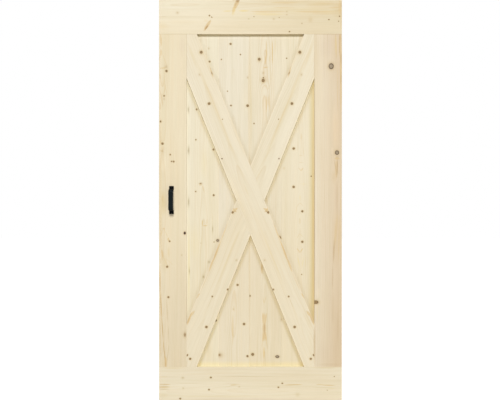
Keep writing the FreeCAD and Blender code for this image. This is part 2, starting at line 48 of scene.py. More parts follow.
# ------------------------------------------------------------------ node maker
class Maker:
    """Small helper that adds and links shader nodes."""

    def __init__(self, name):
        self.mat = bpy.data.materials.new(name)
        self.mat.use_nodes = True
        self.tree = self.mat.node_tree
        self.tree.nodes.clear()
        self.count = 0

    def node(self, kind, **props):
        n = self.tree.nodes.new(kind)
        n.location = (180 * (self.count % 12), -160 * (self.count // 12))
        self.count += 1
        for key, value in props.items():
            setattr(n, key, value)
        return n

    def put(self, socket, value):
        if isinstance(value, bpy.types.NodeSocket):
            self.tree.links.new(value, socket)
        elif value is not None:
            if hasattr(socket.default_value, "__len__") and not hasattr(value, "__len__"):
                value = (value,) * len(socket.default_value)
            if hasattr(socket.default_value, "__len__") and len(value) == 3 \
                    and len(socket.default_value) == 4:
                value = (*value, 1.0)
            socket.default_value = value

    def math(self, operation, a, b=None, c=None, clamp=False):
        n = self.node("ShaderNodeMath", operation=operation, use_clamp=clamp)
        for socket, value in zip(n.inputs, (a, b, c)):
            self.put(socket, value)
        return n.outputs[0]

    def add(self, a, b):
        return self.math("ADD", a, b)

    def sub(self, a, b):
        return self.math("SUBTRACT", a, b)

    def mul(self, a, b):
        return self.math("MULTIPLY", a, b)

    def madd(self, a, b, c):
        return self.math("MULTIPLY_ADD", a, b, c)

    def vector(self, x, y, z):
        n = self.node("ShaderNodeCombineXYZ")
        for socket, value in zip(n.inputs, (x, y, z)):
            self.put(socket, value)
        return n.outputs[0]

    def vmath(self, operation, a, b=None, c=None):
        n = self.node("ShaderNodeVectorMath", operation=operation)
        for socket, value in zip(n.inputs, (a, b, c)):
            self.put(socket, value)
        return n.outputs["Value"] if operation in ("DOT_PRODUCT", "LENGTH", "DISTANCE") \
            else n.outputs["Vector"]

    def split(self, v):
        return self.node_out("ShaderNodeSeparateXYZ", v)

    def node_out(self, kind, v):
        n = self.node(kind)
        self.put(n.inputs[0], v)
        return n.outputs

    def noise(self, vec, scale, detail=2.0, rough=0.5, distort=0.0, colour=False):
        n = self.node("ShaderNodeTexNoise", noise_dimensions="3D", normalize=True)
        self.put(n.inputs["Vector"], vec)
        self.put(n.inputs["Scale"], scale)
        self.put(n.inputs["Detail"], detail)
        self.put(n.inputs["Roughness"], rough)
        self.put(n.inputs["Distortion"], distort)
        return n.outputs["Color" if colour else "Fac"]

    def remap(self, value, low, high, to_low=0.0, to_high=1.0, kind="SMOOTHSTEP"):
        n = self.node("ShaderNodeMapRange", interpolation_type=kind, clamp=True)
        for socket, v in zip(n.inputs, (value, low, high, to_low, to_high)):
            self.put(socket, v)
        return n.outputs[0]

    def ramp(self, fac, stops, mode="LINEAR"):
        n = self.node("ShaderNodeValToRGB")
        self.put(n.inputs[0], fac)
        r = n.color_ramp
        r.interpolation = mode
        while len(r.elements) > 1:
            r.elements.remove(r.elements[-1])
        for i, (place, colour) in enumerate(stops):
            e = r.elements[0] if i == 0 else r.elements.new(place)
            e.position = place
            e.color = colour if len(colour) == 4 else (*colour, 1.0)
        return n.outputs["Color"], n.outputs["Alpha"]

    def mix(self, fac, a, b, blend="MIX"):
        n = self.node("ShaderNodeMix", data_type="RGBA", blend_type=blend)
        n.clamp_factor = True
        self.put(n.inputs[0], fac)
        self.put(n.inputs[6], a)
        self.put(n.inputs[7], b)
        return n.outputs[2]


# ------------------------------------------------------------------ timber
# The colours are as they look in the light of this scene, which gives a white
# surface well over full white, so all of them are scaled down together.
PALE = 0.60
ORANGE = linear(224, 193, 138)
YELLOW = linear(240, 219, 162)
BROWN_AND_PAINTED_SHADE = linear(186, 152, 100)
# tan and brown also serve as painted shade, light and clean also as painted light
TAN_AND_PAINTED_SHADE = (0.955, 0.915, 0.825)
GREY = (0.955, 0.938, 0.950)
PALE_AND_PAINTED_LIGHT = (1.020, 1.035, 1.065)
CLEAN_AND_PAINTED_LIGHT = (1.085, 1.080, 1.085)

# Knots and marks: (kind, px, py, half-width mm, half-length mm[, turn degrees]),
# with the length along the grain and the turn anticlockwise as seen from the
# front. k brown knot, d dark knot, o open knot with a dark rim, b soft brown
# mark, g grey-brown mark, s stain, f faint mark.
KNOTS = {
    "top_rail": [
        ("k", 209.4, 15.6, 2.9, 2.9), ("k", 211.7, 17.2, 1.8, 3.2, -30), ("k", 289.4, 31.6, 2.7, 3.1),
        ("k", 328.9, 19.6, 2.6, 2.9), ("k", 339.6, 16.3, 2.8, 2.8), ("k", 338.6, 21.2, 2, 2.2),
        ("g", 248.8, 18.8, 2.6, 3.2), ("k", 254, 16.6, 1.6, 1.7), ("b", 279.2, 17.5, 2.2, 2.6),
        ("f", 177.5, 12.7, 4.5, 5.2), ("f", 273.8, 18.9, 3.9, 4.4), ("b", 301.9, 23.3, 2.4, 2.8),
        ("f", 286.8, 11.6, 2.6, 3), ("f", 286.8, 14.6, 2.6, 3.6), ("s", 310.4, 19.8, 9, 7.5)],
    "bottom_rail": [
        ("k", 210.8, 377.5, 3.5, 4), ("k", 209, 389.6, 3.3, 3.5),
        ("k", 180.3, 398.6, 3.6, 3.8), ("k", 282.3, 383.3, 2.9, 3.5),
        ("k", 278.4, 387.3, 3, 3.4), ("k", 334.3, 376.5, 1.9, 2.1),
        ("k", 327.3, 390.2, 1.5, 1.6), ("f", 182.8, 377.8, 4.4, 5.5), ("f", 183.2, 388.2, 3.1, 3.9),
        ("f", 239.2, 386.8, 2.5, 3.2), ("s", 297.5, 394.6, 6.5, 7)],
    "left_stile": [
        ("k", 166.5, 71, 4.8, 4.8), ("k", 164.1, 95.8, 3.3, 3.5), ("k", 170.3, 154.6, 3.1, 3.1),
        ("k", 171.6, 161.4, 2.8, 2.9), ("k", 173.6, 161.6, 3.4, 3.9),
        ("d", 184.8, 233.1, 4.7, 6.2), ("k", 169.6, 241.3, 3.4, 3.4),
        ("k", 167.2, 266.7, 4.4, 4.5), ("k", 168.4, 297.2, 4.3, 4.3), ("f", 166.2, 66.8, 5.7, 7.7),
        ("f", 164, 99, 2.8, 4.6), ("f", 162.2, 151, 4.2, 6.4), ("f", 181.7, 255.1, 2.6, 3.5),
        ("b", 184.9, 334.8, 7.4, 12.5), ("k", 160.5, 121.5, 3.6, 4), ("k", 162.5, 143.6, 4.9, 4.9)],
    "right_stile": [
        ("o", 331.2, 66.2, 11.6, 13.7), ("o", 337, 152.6, 9.4, 10.2), ("k", 315.7, 302.2, 11.9, 7.9)],
    "panel_board_1": [
        ("k", 209.6, 61.6, 3.7, 4), ("k", 195.9, 139.7, 2.8, 3.1),
        ("k", 195.7, 191.5, 2.7, 2.9), ("k", 213.7, 195.2, 3.9, 4.1),
        ("k", 214, 242, 1.9, 1.9), ("o", 217.7, 240.4, 6.3, 6),
        ("f", 208.7, 48.4, 3.8, 3.8), ("f", 200.9, 243.1, 2.2, 2.7),
        ("k", 196.6, 109.4, 3.7, 3.7), ("k", 213.5, 149.5, 4.1, 4.3), ("g", 208.9, 261.9, 5, 6),
        ("g", 203.5, 276.8, 5, 6), ("b", 200.6, 183.5, 6.9, 4.3), ("g", 188.5, 109.6, 3.6, 14),
        ("g", 188.6, 150.4, 4.4, 18), ("g", 188.6, 202.2, 4.4, 21), ("g", 189.4, 271.2, 2.6, 16),
        ("g", 212.6, 229.2, 2.5, 17), ("k", 216.3, 320.6, 2.7, 4.4, -22)],
    "panel_board_2": [
        ("k", 230.6, 43.9, 4.2, 4.2), ("k", 221.4, 59.4, 2.6, 2.6), ("k", 240.4, 54.5, 2.7, 2.7),
        ("k", 227.5, 91.2, 2.1, 2.3), ("k", 231, 105.5, 3.5, 3.1), ("k", 247.6, 105.7, 5.5, 5.3),
        ("k", 237.6, 284.9, 4.5, 4.5), ("k", 244.1, 324, 5.2, 5.1), ("k", 247.5, 356.2, 4.7, 4.5),
        ("f", 217.5, 80.4, 5.6, 6.2), ("f", 247.7, 77.5, 3.7, 4.9), ("f", 233.4, 309.2, 2.7, 3.1),
        ("f", 236.8, 260.1, 4.3, 5), ("o", 217.7, 240.4, 6.3, 6), ("f", 219.9, 355.2, 13, 10.3),
        ("b", 219.4, 354.9, 7.3, 6.6)],
    "panel_board_3": [
        ("k", 254, 123.5, 2.6, 2.8), ("k", 249.7, 295.9, 4.1, 4.1),
        ("k", 263.3, 77.7, 2.7, 3), ("k", 259.3, 59.2, 5.7, 5.7), ("k", 263.2, 80.5, 6.1, 7.5),
        ("k", 252.7, 354.4, 6, 6), ("o", 277.3, 356.6, 8.9, 6.2), ("f", 281.5, 319.5, 5.4, 6.8),
        ("f", 263.2, 73, 4.6, 5.6), ("f", 259.3, 60.4, 6.9, 7.7), ("f", 263.3, 80.1, 9.3, 12.7),
        ("k", 280.5, 237.3, 2.1, 6.6, 30), ("f", 279.8, 236.7, 5.2, 9.6, 30)],
    "panel_board_4": [
        ("k", 286.6, 58.3, 2.5, 2.5), ("k", 293.7, 148.5, 5.2, 5.2), ("k", 293.6, 186.9, 5, 5.2),
        ("k", 311.2, 176.2, 2.6, 2.6), ("k", 302.3, 211.3, 4.4, 4.4),
        ("k", 302.3, 241.8, 4.8, 4.8), ("k", 301.7, 274.5, 2.1, 2.3),
        ("f", 289.6, 72.9, 2.4, 3.3), ("k", 280.5, 237.3, 2.1, 6.6, 30),
        ("f", 281.5, 319.5, 5.2, 6.4), ("s", 284, 168.2, 4.2, 4.8)],
}

# The braces are matched pairs, so the marks mirror across the middle: the
# second number is then the distance from the middle.
LEG_KNOTS = {
    "upper": [
        ("k", 49.3, 52.2, 5.8, 6), ("k", 41.4, 103.6, 5.8, 5.5), ("k", 28, 119.2, 2.0, 2.0),
        ("f", 51, 74.6, 3.9, 5.2), ("f", 49.3, 52.7, 7.8, 8.6), ("d", 28.5, 158.7, 2.3, 2.5),
        ("b", 38.6, 73.2, 3.3, 8.4)],
    "lower": [
        ("k", 17.8, 212.4, 4.8, 4.8), ("k", 38.2, 296.5, 3.3, 3.5), ("k", 44.1, 327, 5.3, 5.3),
        ("k", 60.3, 358.8, 4.6, 4.6), ("f", 14.1, 260.2, 4.3, 4.9), ("k", 63.1, 355.2, 2.8, 4.9),
        ("k", 22.8, 289.5, 3.5, 3.8)],
}
# resin and heartwood on the braces: (kind, offset, py, half-width, half-length, turn, amount)
LEG_STREAKS = {
    "upper": [("tan", 34.5, 110.0, 17, 480, 0, 0.85), ("orange", 36.6, 104.0, 2.6, 330, 0, 0.30),
              ("tan", 44.0, 60.0, 14, 150, 0, 0.5), ("light", 45.2, 110.0, 26, 430, 0, 0.85)],
    "lower": [("tan", 36.6, 295.0, 14, 420, 0, 0.30)],
}
# the same from place to place: (kind, offset, py, offset, py, half-width, amount)
LEG_STROKES = {
    "upper": [("tan", 65.0, 37.0, 50.5, 76.0, 13.0, 0.90), ("orange", 40.6, 66.5, 37.2, 78.0, 4.8, 0.75), ("brown", 41.6, 64.0, 38.4, 73.0, 1.8, 0.35)],
    "lower": [("orange", 13.0, 208.2, 18.4, 211.4, 6.5, 1.0), ("orange", 14.2, 212.0, 17.8, 208.0, 5.5, 1.0),
              ("brown", 15.0, 210.8, 16.8, 211.8, 4.0, 0.90), ("orange", 22.6, 222.0, 30.2, 242.0, 3.6, 0.85),
              ("orange", 29.4, 239.0, 37.6, 262.0, 6.5, 1.0), ("brown", 31.4, 244.0, 39.0, 265.0, 3.4, 0.34),
              ("orange", 36.2, 257.0, 42.0, 272.5, 5.4, 1.0), ("orange", 41.0, 270.0, 50.0, 292.0, 2.6, 0.50),
              ("orange", 50.4, 293.0, 56.4, 300.8, 5.0, 0.95), ("orange", 56.2, 311.0, 61.4, 317.6, 8.5, 1.0),
              ("orange", 59.4, 314.0, 63.6, 325.0, 8.0, 1.0), ("brown", 59.6, 315.5, 63.2, 324.0, 3.2, 0.35),
              ("tan", 7.5, 222.0, 38.5, 297.0, 9, 0.90), ("tan", 21.0, 222.0, 47.4, 289.0, 10, 0.48),
              ("brown", 38.2, 297.0, 43.2, 308.5, 2.6, 0.30), ("tan", 39.0, 298.0, 50.0, 325.0, 8, 0.50)],
}

LOOKS = {
    "k": [(0.00, (0.180, 0.100, 0.036, 1.0)), (0.06, (0.400, 0.258, 0.104, 1.0)),
          (0.14, (0.345, 0.212, 0.084, 1.0)), (0.20, (0.440, 0.290, 0.122, 1.0)),
          (0.27, (0.260, 0.158, 0.062, 1.0)), (0.33, (0.105, 0.060, 0.026, 1.0)),
          (0.37, (0.410, 0.268, 0.108, 0.85)), (0.46, (0.640, 0.470, 0.225, 0.50)),
          (0.68, (0.750, 0.590, 0.310, 0.20)), (1.00, (0.830, 0.690, 0.420, 0.0))],
    "b": [(0.00, (0.300, 0.185, 0.075, 0.92)), (0.14, (0.360, 0.230, 0.095, 0.85)),
          (0.26, (0.450, 0.300, 0.130, 0.62)), (0.36, (0.560, 0.400, 0.190, 0.30)),
          (0.60, (0.680, 0.510, 0.280, 0.12)), (1.00, (0.800, 0.660, 0.420, 0.0))],
    "g": [(0.00, (0.330, 0.238, 0.098, 0.60)), (0.16, (0.400, 0.300, 0.135, 0.55)),
          (0.30, (0.520, 0.405, 0.200, 0.36)), (0.60, (0.680, 0.560, 0.320, 0.10)),
          (1.00, (0.800, 0.690, 0.460, 0.0))],
    "s": [(0.00, (0.620, 0.440, 0.200, 0.34)), (0.30, (0.660, 0.480, 0.230, 0.28)),
          (0.60, (0.720, 0.560, 0.300, 0.12)), (1.00, (0.800, 0.680, 0.440, 0.0))],
    "d": [(0.00, (0.022, 0.012, 0.008, 1.0)), (0.14, (0.070, 0.034, 0.018, 1.0)),
          (0.24, (0.028, 0.014, 0.009, 1.0)), (0.33, (0.075, 0.036, 0.018, 1.0)),
          (0.39, (0.330, 0.180, 0.085, 0.85)), (0.52, (0.600, 0.420, 0.220, 0.42)),
          (0.72, (0.720, 0.560, 0.320, 0.16)), (1.00, (0.800, 0.660, 0.420, 0.0))],
    "o": [(0.00, (0.230, 0.150, 0.080, 1.0)), (0.05, (0.470, 0.370, 0.240, 1.0)),
          (0.13, (0.400, 0.300, 0.185, 1.0)), (0.19, (0.500, 0.400, 0.260, 1.0)),
          (0.26, (0.210, 0.145, 0.080, 1.0)), (0.32, (0.075, 0.048, 0.027, 1.0)),
          (0.36, (0.330, 0.225, 0.110, 0.85)), (0.44, (0.600, 0.440, 0.230, 0.45)),
          (0.66, (0.720, 0.560, 0.320, 0.18)), (1.00, (0.800, 0.660, 0.420, 0.0))],
    "f": [(0.00, (0.480, 0.345, 0.165, 0.66)), (0.22, (0.580, 0.420, 0.215, 0.46)),
          (0.45, (0.680, 0.520, 0.290, 0.24)), (1.00, (0.800, 0.660, 0.420, 0.0))],
}


def stroke(kind, x0, y0, x1, y1, half_w, amount, along):
    """A straight stroke between two places of the view, as a streak. Its turn is
    measured from the grain."""
    dx, dy = x1 - x0, -(y1 - y0)
    turn = math.degrees(math.atan2(dy, dx) - math.atan2(along[1], along[0]))
    turn = (turn + 90.0) % 180.0 - 90.0
    half_l = 0.5 * math.hypot(dx, dy) * MM_PX * 1000.0 * 1.12 + half_w * 0.5
    return (kind, 0.5 * (x0 + x1), 0.5 * (y0 + y1), half_w, half_l, turn, amount)


def timber(name, along=(0, 1), centre=(0.0, CENTRE_Z), half=0.070, face=0.020,
           heart=(0.0, 0.07), slope=0.02, spacing=0.0042, early=(244, 233, 206),
           late=(219, 188, 138), contrast=0.55, sway=0.012, seed=0.0, knots=(),
           streaks=(), tint=(1.0, 1.0, 1.0), shift=None, shear=(0.25, 0.12),
           flip=False, butts=(None, None), panel=False, fade=None, ledge=None,
           strokes=(), seam=(), cross=0):
    """Planed knotty softwood. The growth rings are cylinders about a heart line
    that leans and sways along the board, so that faces, edges and end grain all
    cut the same rings."""
    m = Maker(name)
    streaks = list(streaks) + [stroke(*item, along) for item in strokes]
    across = (along[1], -along[0])
    if across[0] < 0 or (across[0] == 0 and across[1] < 0):
        across = (-across[0], -across[1])
    hand = 1.0 if across[0] * along[1] - across[1] * along[0] > 0 else -1.0
    coords = m.node("ShaderNodeTexCoord")
    place = coords.outputs["Object"]
    px, py, pz = m.split(place)[:3]
    u = m.sub(m.vmath("DOT_PRODUCT", place, (across[0], 0, across[1])),
              centre[0] * across[0] + centre[1] * across[1])
    v = m.sub(m.vmath("DOT_PRODUCT", place, (along[0], 0, along[1])),
              centre[0] * along[0] + centre[1] * along[1])
    # depth below the shown face, positive into the board
    w = m.madd(py, -1.0 if flip else 1.0, face)

    # knots run a little aslant through the board, as branches do
    ku = m.madd(w, shear[0], u)
    kv = m.madd(w, shear[1], v)
    flat = m.vector(ku, kv, 0.0)
    ragged = m.noise(m.vector(ku, kv, seed), 170.0, 1.0, 0.5, colour=True)
    flat = m.vmath("MULTIPLY_ADD", m.vmath("SUBTRACT", ragged, (0.5, 0.5, 0.5)),
                   (0.0024, 0.0024, 0.0), flat)

    def seen_at(x_px, y_px):
        x, z = spot(x_px, y_px, 0.020 - face)
        x, z = x - centre[0], z - centre[1]
        return x * across[0] + z * across[1], x * along[0] + z * along[1]

    def distance(x_px, y_px, half_w, half_l, turn=0.0):
        """Distance from a feature in units of its own size."""
        cu, cv = seen_at(x_px, y_px)
        n = m.node("ShaderNodeMapping", vector_type="TEXTURE")
        m.put(n.inputs["Vector"], flat)
        n.inputs["Location"].default_value = (cu, cv, 0)
        n.inputs["Rotation"].default_value = (0, 0, math.radians(turn) * hand)
        n.inputs["Scale"].default_value = (half_w / 1000.0, half_l / 1000.0, 1)
        return m.vmath("LENGTH", n.outputs[0])

    fields = []
    for kind in "sfgbkod":
        least = None
        for item in knots:
            if item[0] == kind:
                d = distance(*item[1:])
                least = d if least is None else m.math("MINIMUM", least, d)
        if least is not None:
            fields.append((kind, least))

    # the grain swells round each knot
    swell = None
    for kind, d in fields:
        amount = {"d": 0.0034, "k": 0.0030, "o": 0.0058, "f": 0.0012, "b": 0.0016,
                  "g": 0.0012, "s": 0.0008}[kind]
        push = m.math("DIVIDE", amount,
                      m.madd(m.math("POWER", m.mul(d, 0.40), 3.0), 1.0, 1.0))
        swell = push if swell is None else m.add(swell, push)

    # the heart line sways
    slow = m.noise(m.vector(m.mul(u, 0.35), v, seed * 1.7 + 3.1), 1.7, 1.0, 0.4, colour=True)
    quick = m.noise(m.vector(m.mul(u, 0.8), v, seed * 2.3 + 9.7), 7.5, 1.0, 0.5)
    sx, sy, sz = m.split(m.vmath("SUBTRACT", slow, (0.5, 0.5, 0.5)))[:3]
    ru = m.madd(sx, sway * 3.0, m.sub(u, heart[0]))
    rw = m.madd(sy, sway * 3.0, m.madd(v, slope, m.add(w, heart[1])))
    radius = m.math("SQRT", m.add(m.mul(ru, ru), m.mul(rw, rw)))
    radius = m.madd(m.sub(quick, 0.5), 0.0042, radius)
    if swell is not None:
        radius = m.add(radius, swell)

    # each ring: pale early wood, then a late band that ends sharply
    years = m.noise(m.vector(radius, seed, 0.0), 95.0, 1.0, 0.5)
    turns = m.madd(m.sub(years, 0.5), 1.5, m.mul(radius, 1.0 / spacing))
    share = m.math("FRACT", turns)
    band, _ = m.ramp(share, [(0.0, (0.10,) * 3), (0.08, (0.0,) * 3), (0.45, (0.12,) * 3),
                             (0.78, (0.62,) * 3), (0.93, (1.0,) * 3), (1.0, (0.10,) * 3)],
                     "EASE")
    strength = m.noise(m.vector(m.mul(u, 9.0), m.mul(v, 1.1), seed + 5.0), 1.0, 2.0, 0.55)
    which = m.noise(m.vector(m.mul(turns, 0.37), seed * 3.0, 1.0), 1.0, 0.0, 0.5)
    vivid = m.mul(m.remap(strength, 0.30, 0.72, 0.25, 1.0), m.remap(which, 0.3, 0.7, 0.40, 1.0))
    late_share = m.mul(m.mul(band, vivid), contrast)

    # end grain is darker and warmer, with the rings drawn hard
    facing = m.math("ABSOLUTE", m.vmath("DOT_PRODUCT", coords.outputs["Normal"],
                                        (along[0], 0, along[1])))
    end = m.remap(facing, 0.75, 0.95)
    late_share = m.madd(m.mul(end, band), 0.45, late_share)

    colour = m.mix(late_share, linear(*early), linear(*late))
    colour = m.mix(m.mul(end, 0.8), colour, (0.80, 0.71, 0.58), "MULTIPLY")

    # long soft streaks of tone, then fine fibres
    streaky = m.noise(m.vector(m.mul(u, 42.0), m.mul(v, 0.9), m.madd(w, 42.0, seed)),
                      1.0, 3.0, 0.6)
    tone, _ = m.ramp(streaky, [(0.30, (0.955, 0.945, 0.90)), (0.50, (1.0, 0.995, 0.985)),
                               (0.70, (1.015, 1.0, 0.975))])
    colour = m.mix(1.0, colour, tone, "MULTIPLY")
    broad = m.noise(m.vector(m.mul(u, 6.0), m.mul(v, 1.3), seed + 11.0), 1.0, 2.0, 0.5)
    tone, _ = m.ramp(broad, [(0.32, (0.985, 0.965, 0.93)), (0.5, (1.0, 1.0, 1.0)),
                             (0.68, (1.01, 1.015, 1.03))])
    colour = m.mix(1.0, colour, tone, "MULTIPLY")
    fibre = m.noise(m.vector(m.mul(u, 620.0), m.mul(v, 11.0), m.mul(w, 620.0)), 1.0, 2.0, 0.6)
    tone, _ = m.ramp(fibre, [(0.25, (0.945, 0.94, 0.92)), (0.55, (1.0, 1.0, 1.0)),
                             (0.8, (1.012, 1.012, 1.012))])
    colour = m.mix(1.0, colour, tone, "MULTIPLY")

    # a drift of tone from one end or side to the other
    if shift:
        axis, low, high, colour_low, colour_high = shift
        base = {"u": u, "v": v}[axis]
        drift = m.mix(m.remap(base, low, high), colour_low, colour_high)
        colour = m.mix(1.0, colour, drift, "MULTIPLY")

    # painted shade: the board is darker towards the bottom, standing in for the light falling off down the leaf
    if fade:
        z_low, z_high, colour_low, colour_high = fade
        colour = m.mix(1.0, colour, m.mix(m.remap(pz, z_low, z_high), colour_low, colour_high),
                       "MULTIPLY")

    # resin streaks and heartwood follow the rings and break up along the fibres; some tan
    # and brown streaks are painted shade and some light and clean ones painted light
    broken = m.noise(m.vector(m.mul(u, 210.0), m.mul(v, 5.0), seed + 21.0), 1.0, 2.0, 0.6)
    for kind, stain, core in (("tan", TAN_AND_PAINTED_SHADE, 0.10), ("grey", GREY, 0.20), ("light", PALE_AND_PAINTED_LIGHT, 0.20),
                              ("clean", CLEAN_AND_PAINTED_LIGHT, 0.25),
                              ("yellow", YELLOW, 0.15),
                              ("orange", ORANGE, 0.50), ("brown", BROWN_AND_PAINTED_SHADE, 0.35)):
        total = None
        for item in streaks:
            if item[0] != kind:
                continue
            mask = m.remap(distance(*item[1:6]), core, 1.0, item[6], 0.0)
            total = mask if total is None else m.math("MAXIMUM", total, mask)
        if total is None:
            continue
        if kind in ("tan", "grey", "light", "clean"):
            colour = m.mix(total, colour, stain, "MULTIPLY")
            continue
        total = m.mul(total, m.remap(broken, 0.28, 0.62, 0.60, 1.0))
        if kind == "orange":
            total = m.mul(total, m.madd(band, 0.40, 0.75))
        colour = m.mix(total, colour, stain)

    if panel:
        # painted shade: the panel beside the braces and the right stile is painted darker and greener,
        # stronger below a brace than above it
        front = m.math("LESS_THAN", py, 0.0)
        part = m.madd(front, 0.60, 0.40)
        zc = m.sub(pz, CENTRE_Z)
        fall = m.mul(px, math.cos(LEAN))
        rise = m.mul(zc, math.sin(LEAN))
        a, b = m.add(fall, rise), m.sub(fall, rise)
        for side, below in ((m.mul(a, -1.0), True), (b, True), (a, False), (m.mul(b, -1.0), False)):
            gap = m.sub(side, 0.066)
            beside = m.math("GREATER_THAN", gap, -0.060)
            if below:
                painted_brace_shade = m.mul(m.remap(gap, 0.004, 0.026, 0.98, 0.0),
                             m.remap(gap, 0.0024, 0.0080, 0.0, 1.0))
                # painted light: the panel right at a brace's lower edge is lifted, cancelling part of the brace's
                # cast shadow
                painted_brace_light = m.mul(m.remap(gap, 0.0015, 0.0085, 1.0, 0.0), m.mul(beside, front))
                colour = m.mix(painted_brace_light, colour, (1.43, 1.41, 1.29), "MULTIPLY")
                painted_edge_light = m.mul(m.remap(gap, 0.0010, 0.0036, 1.0, 0.0), m.mul(beside, front))
                colour = m.mix(painted_edge_light, colour, (1.12, 1.13, 1.13), "MULTIPLY")
            else:
                painted_brace_shade = m.mul(m.remap(gap, 0.002, 0.023, 0.36, 0.0),
                             m.remap(gap, 0.005, 0.012, m.remap(zc, -0.15, 0.15, 0.05, 0.50), 1.0))
            painted_brace_shade = m.mul(painted_brace_shade, m.mul(beside, part))
            colour = m.mix(painted_brace_shade, colour, (0.84, 0.795, 0.665), "MULTIPLY")
            # painted shade: below the braces the panel is painted darker still towards the bottom
            if below:
                colour = m.mix(m.mul(painted_brace_shade, m.remap(zc, -0.70, -0.55, 1.0, 0.0)), colour,
                               (0.92, 0.91, 0.86), "MULTIPLY")
        # painted shade: the panel is darker and greener towards the right stile, as in its shadow; painted light
        # lifts the last few millimetres by the stile
        painted_stile_shade = m.remap(m.sub(0.325, px), 0.002, 0.036, 1.0, 0.0)
        colour = m.mix(m.mul(painted_stile_shade, part), colour, (0.900, 0.840, 0.590), "MULTIPLY")
        painted_rim_light = m.remap(m.sub(0.325, px), 0.004, 0.013, 1.0, 0.0)
        colour = m.mix(m.mul(painted_rim_light, front), colour, (1.085, 1.065, 1.110), "MULTIPLY")
        # painted light: the panel is lighter towards the left stile, most of all at its very edge
        painted_left_light = m.remap(m.add(px, 0.325), 0.000, 0.026, 1.0, 0.0)
        colour = m.mix(m.mul(painted_left_light, front), colour, (1.09, 1.12, 1.15), "MULTIPLY")
        painted_verge_light = m.remap(m.add(px, 0.325), 0.0, 0.0050, 1.0, 0.0)
        colour = m.mix(m.mul(painted_verge_light, front), colour, (1.15, 1.14, 1.11), "MULTIPLY")
        # painted light: a warm band of light on the panel just above the bottom rail, as if thrown back from the
        # rail's top
        painted_foot_light = m.remap(m.add(zc, 0.846), 0.003, 0.034, 1.0, 0.0)
        colour = m.mix(m.mul(painted_foot_light, front), colour, (1.13, 1.10, 0.905), "MULTIPLY")
        painted_sill_light = m.remap(m.add(zc, 0.846), 0.003, 0.012, 1.0, 0.0)
        colour = m.mix(m.mul(painted_sill_light, front), colour, (1.06, 1.10, 1.19), "MULTIPLY")
        # painted shadow below the top rail, darker and yellower; painted light on the panel's first millimetres
        # under the rail and on a faint band below the shadow
        painted_rail_shadow = m.remap(m.sub(0.846, zc), 0.007, 0.015, 1.0, 0.0)
        colour = m.mix(m.mul(painted_rail_shadow, front), colour, (0.950, 0.880, 0.700), "MULTIPLY")
        painted_lip_light = m.remap(m.sub(0.846, zc), 0.003, 0.008, 1.0, 0.0)
        colour = m.mix(m.mul(painted_lip_light, front), colour, (1.09, 1.08, 1.06), "MULTIPLY")
        painted_verge_light = m.mul(m.remap(m.sub(0.846, zc), 0.013, 0.018, 0.0, 1.0),
                      m.remap(m.sub(0.846, zc), 0.020, 0.026, 1.0, 0.0))
        colour = m.mix(m.mul(painted_verge_light, front), colour, (1.05, 1.05, 1.05), "MULTIPLY")
        # painted light: the panel is lifted along each tongued joint, cancelling the shade of its groove
        for joint, width, lift in seam:
            clean = m.remap(m.math("ABSOLUTE", m.sub(px, joint)), width * 0.7, width * 1.5, 1.0, 0.0)
            colour = m.mix(clean, colour, (lift, lift, lift), "MULTIPLY")

    # knots, with fine shakes across the larger ones
    knot_mask = None
    radial = m.noise(flat, 420.0, 2.0, 0.6)
    for kind, d in fields:
        rippled = m.madd(m.sub(radial, 0.5), 0.30, d)
        stain, alpha = m.ramp(m.mul(rippled, 1.0 / 3.0), LOOKS[kind])
        colour = m.mix(alpha, colour, stain)
        if kind not in "sfgb":
            knot_mask = alpha if knot_mask is None else m.math("MAXIMUM", knot_mask, alpha)
    shake = None
    if knot_mask is not None:
        cells = m.node("ShaderNodeTexVoronoi", feature="DISTANCE_TO_EDGE")
        m.put(cells.inputs["Vector"], flat)
        m.put(cells.inputs["Scale"], 130.0)
        shake = m.mul(m.remap(cells.outputs["Distance"], 0.015, 0.075, 1.0, 0.0),
                      m.remap(knot_mask, 0.90, 0.99))
        colour = m.mix(m.mul(shake, 0.50), colour, (0.040, 0.024, 0.013))

    # the joints are darkened, much more at the top than at the bottom,
    # and the arrises are burnished by handling
    z_butt, x_butt = butts
    lines = []
    if z_butt:
        lines.append(m.sub(z_butt, m.math("ABSOLUTE", m.sub(pz, CENTRE_Z))))
    if x_butt:
        lines.append(m.sub(x_butt, m.math("ABSOLUTE", px)))
    for line in lines:
        joint_darkening = m.mul(m.remap(line, 0.0004, 0.0028, 1.0, 0.0),
                     m.remap(m.sub(pz, CENTRE_Z), -0.3, 0.3, 0.06, 0.58))
        colour = m.mix(joint_darkening, colour, (0.60, 0.50, 0.38), "MULTIPLY")
    worn = None
    if not panel:
        across_edge = m.sub(half, m.math("ABSOLUTE", u))
        face_edge = m.sub(0.020, m.math("ABSOLUTE", py))
        corner = m.math("MAXIMUM", across_edge, face_edge)
        patchy = m.noise(m.vector(m.mul(u, 60.0), m.mul(v, 14.0), seed), 1.0, 2.0, 0.6)
        worn = m.mul(m.remap(corner, 0.0004, 0.0030, 1.0, 0.0),
                     m.remap(patchy, 0.35, 0.65, 0.25, 1.0))
        colour = m.mix(m.mul(worn, 0.20), colour, (0.94, 0.90, 0.82), "MULTIPLY")
        # painted light and shade on the eased arris: bevels facing down are painted up to 1.62 times
        # paler, bevels facing up a little darker
        tilt = m.split(coords.outputs["Normal"])
        steep = m.math("ABSOLUTE", tilt[1])
        painted_arris_light = m.mul(m.remap(steep, 0.90, 0.96, 1.0, 0.0), m.remap(steep, 0.10, 0.25))
        if cross:
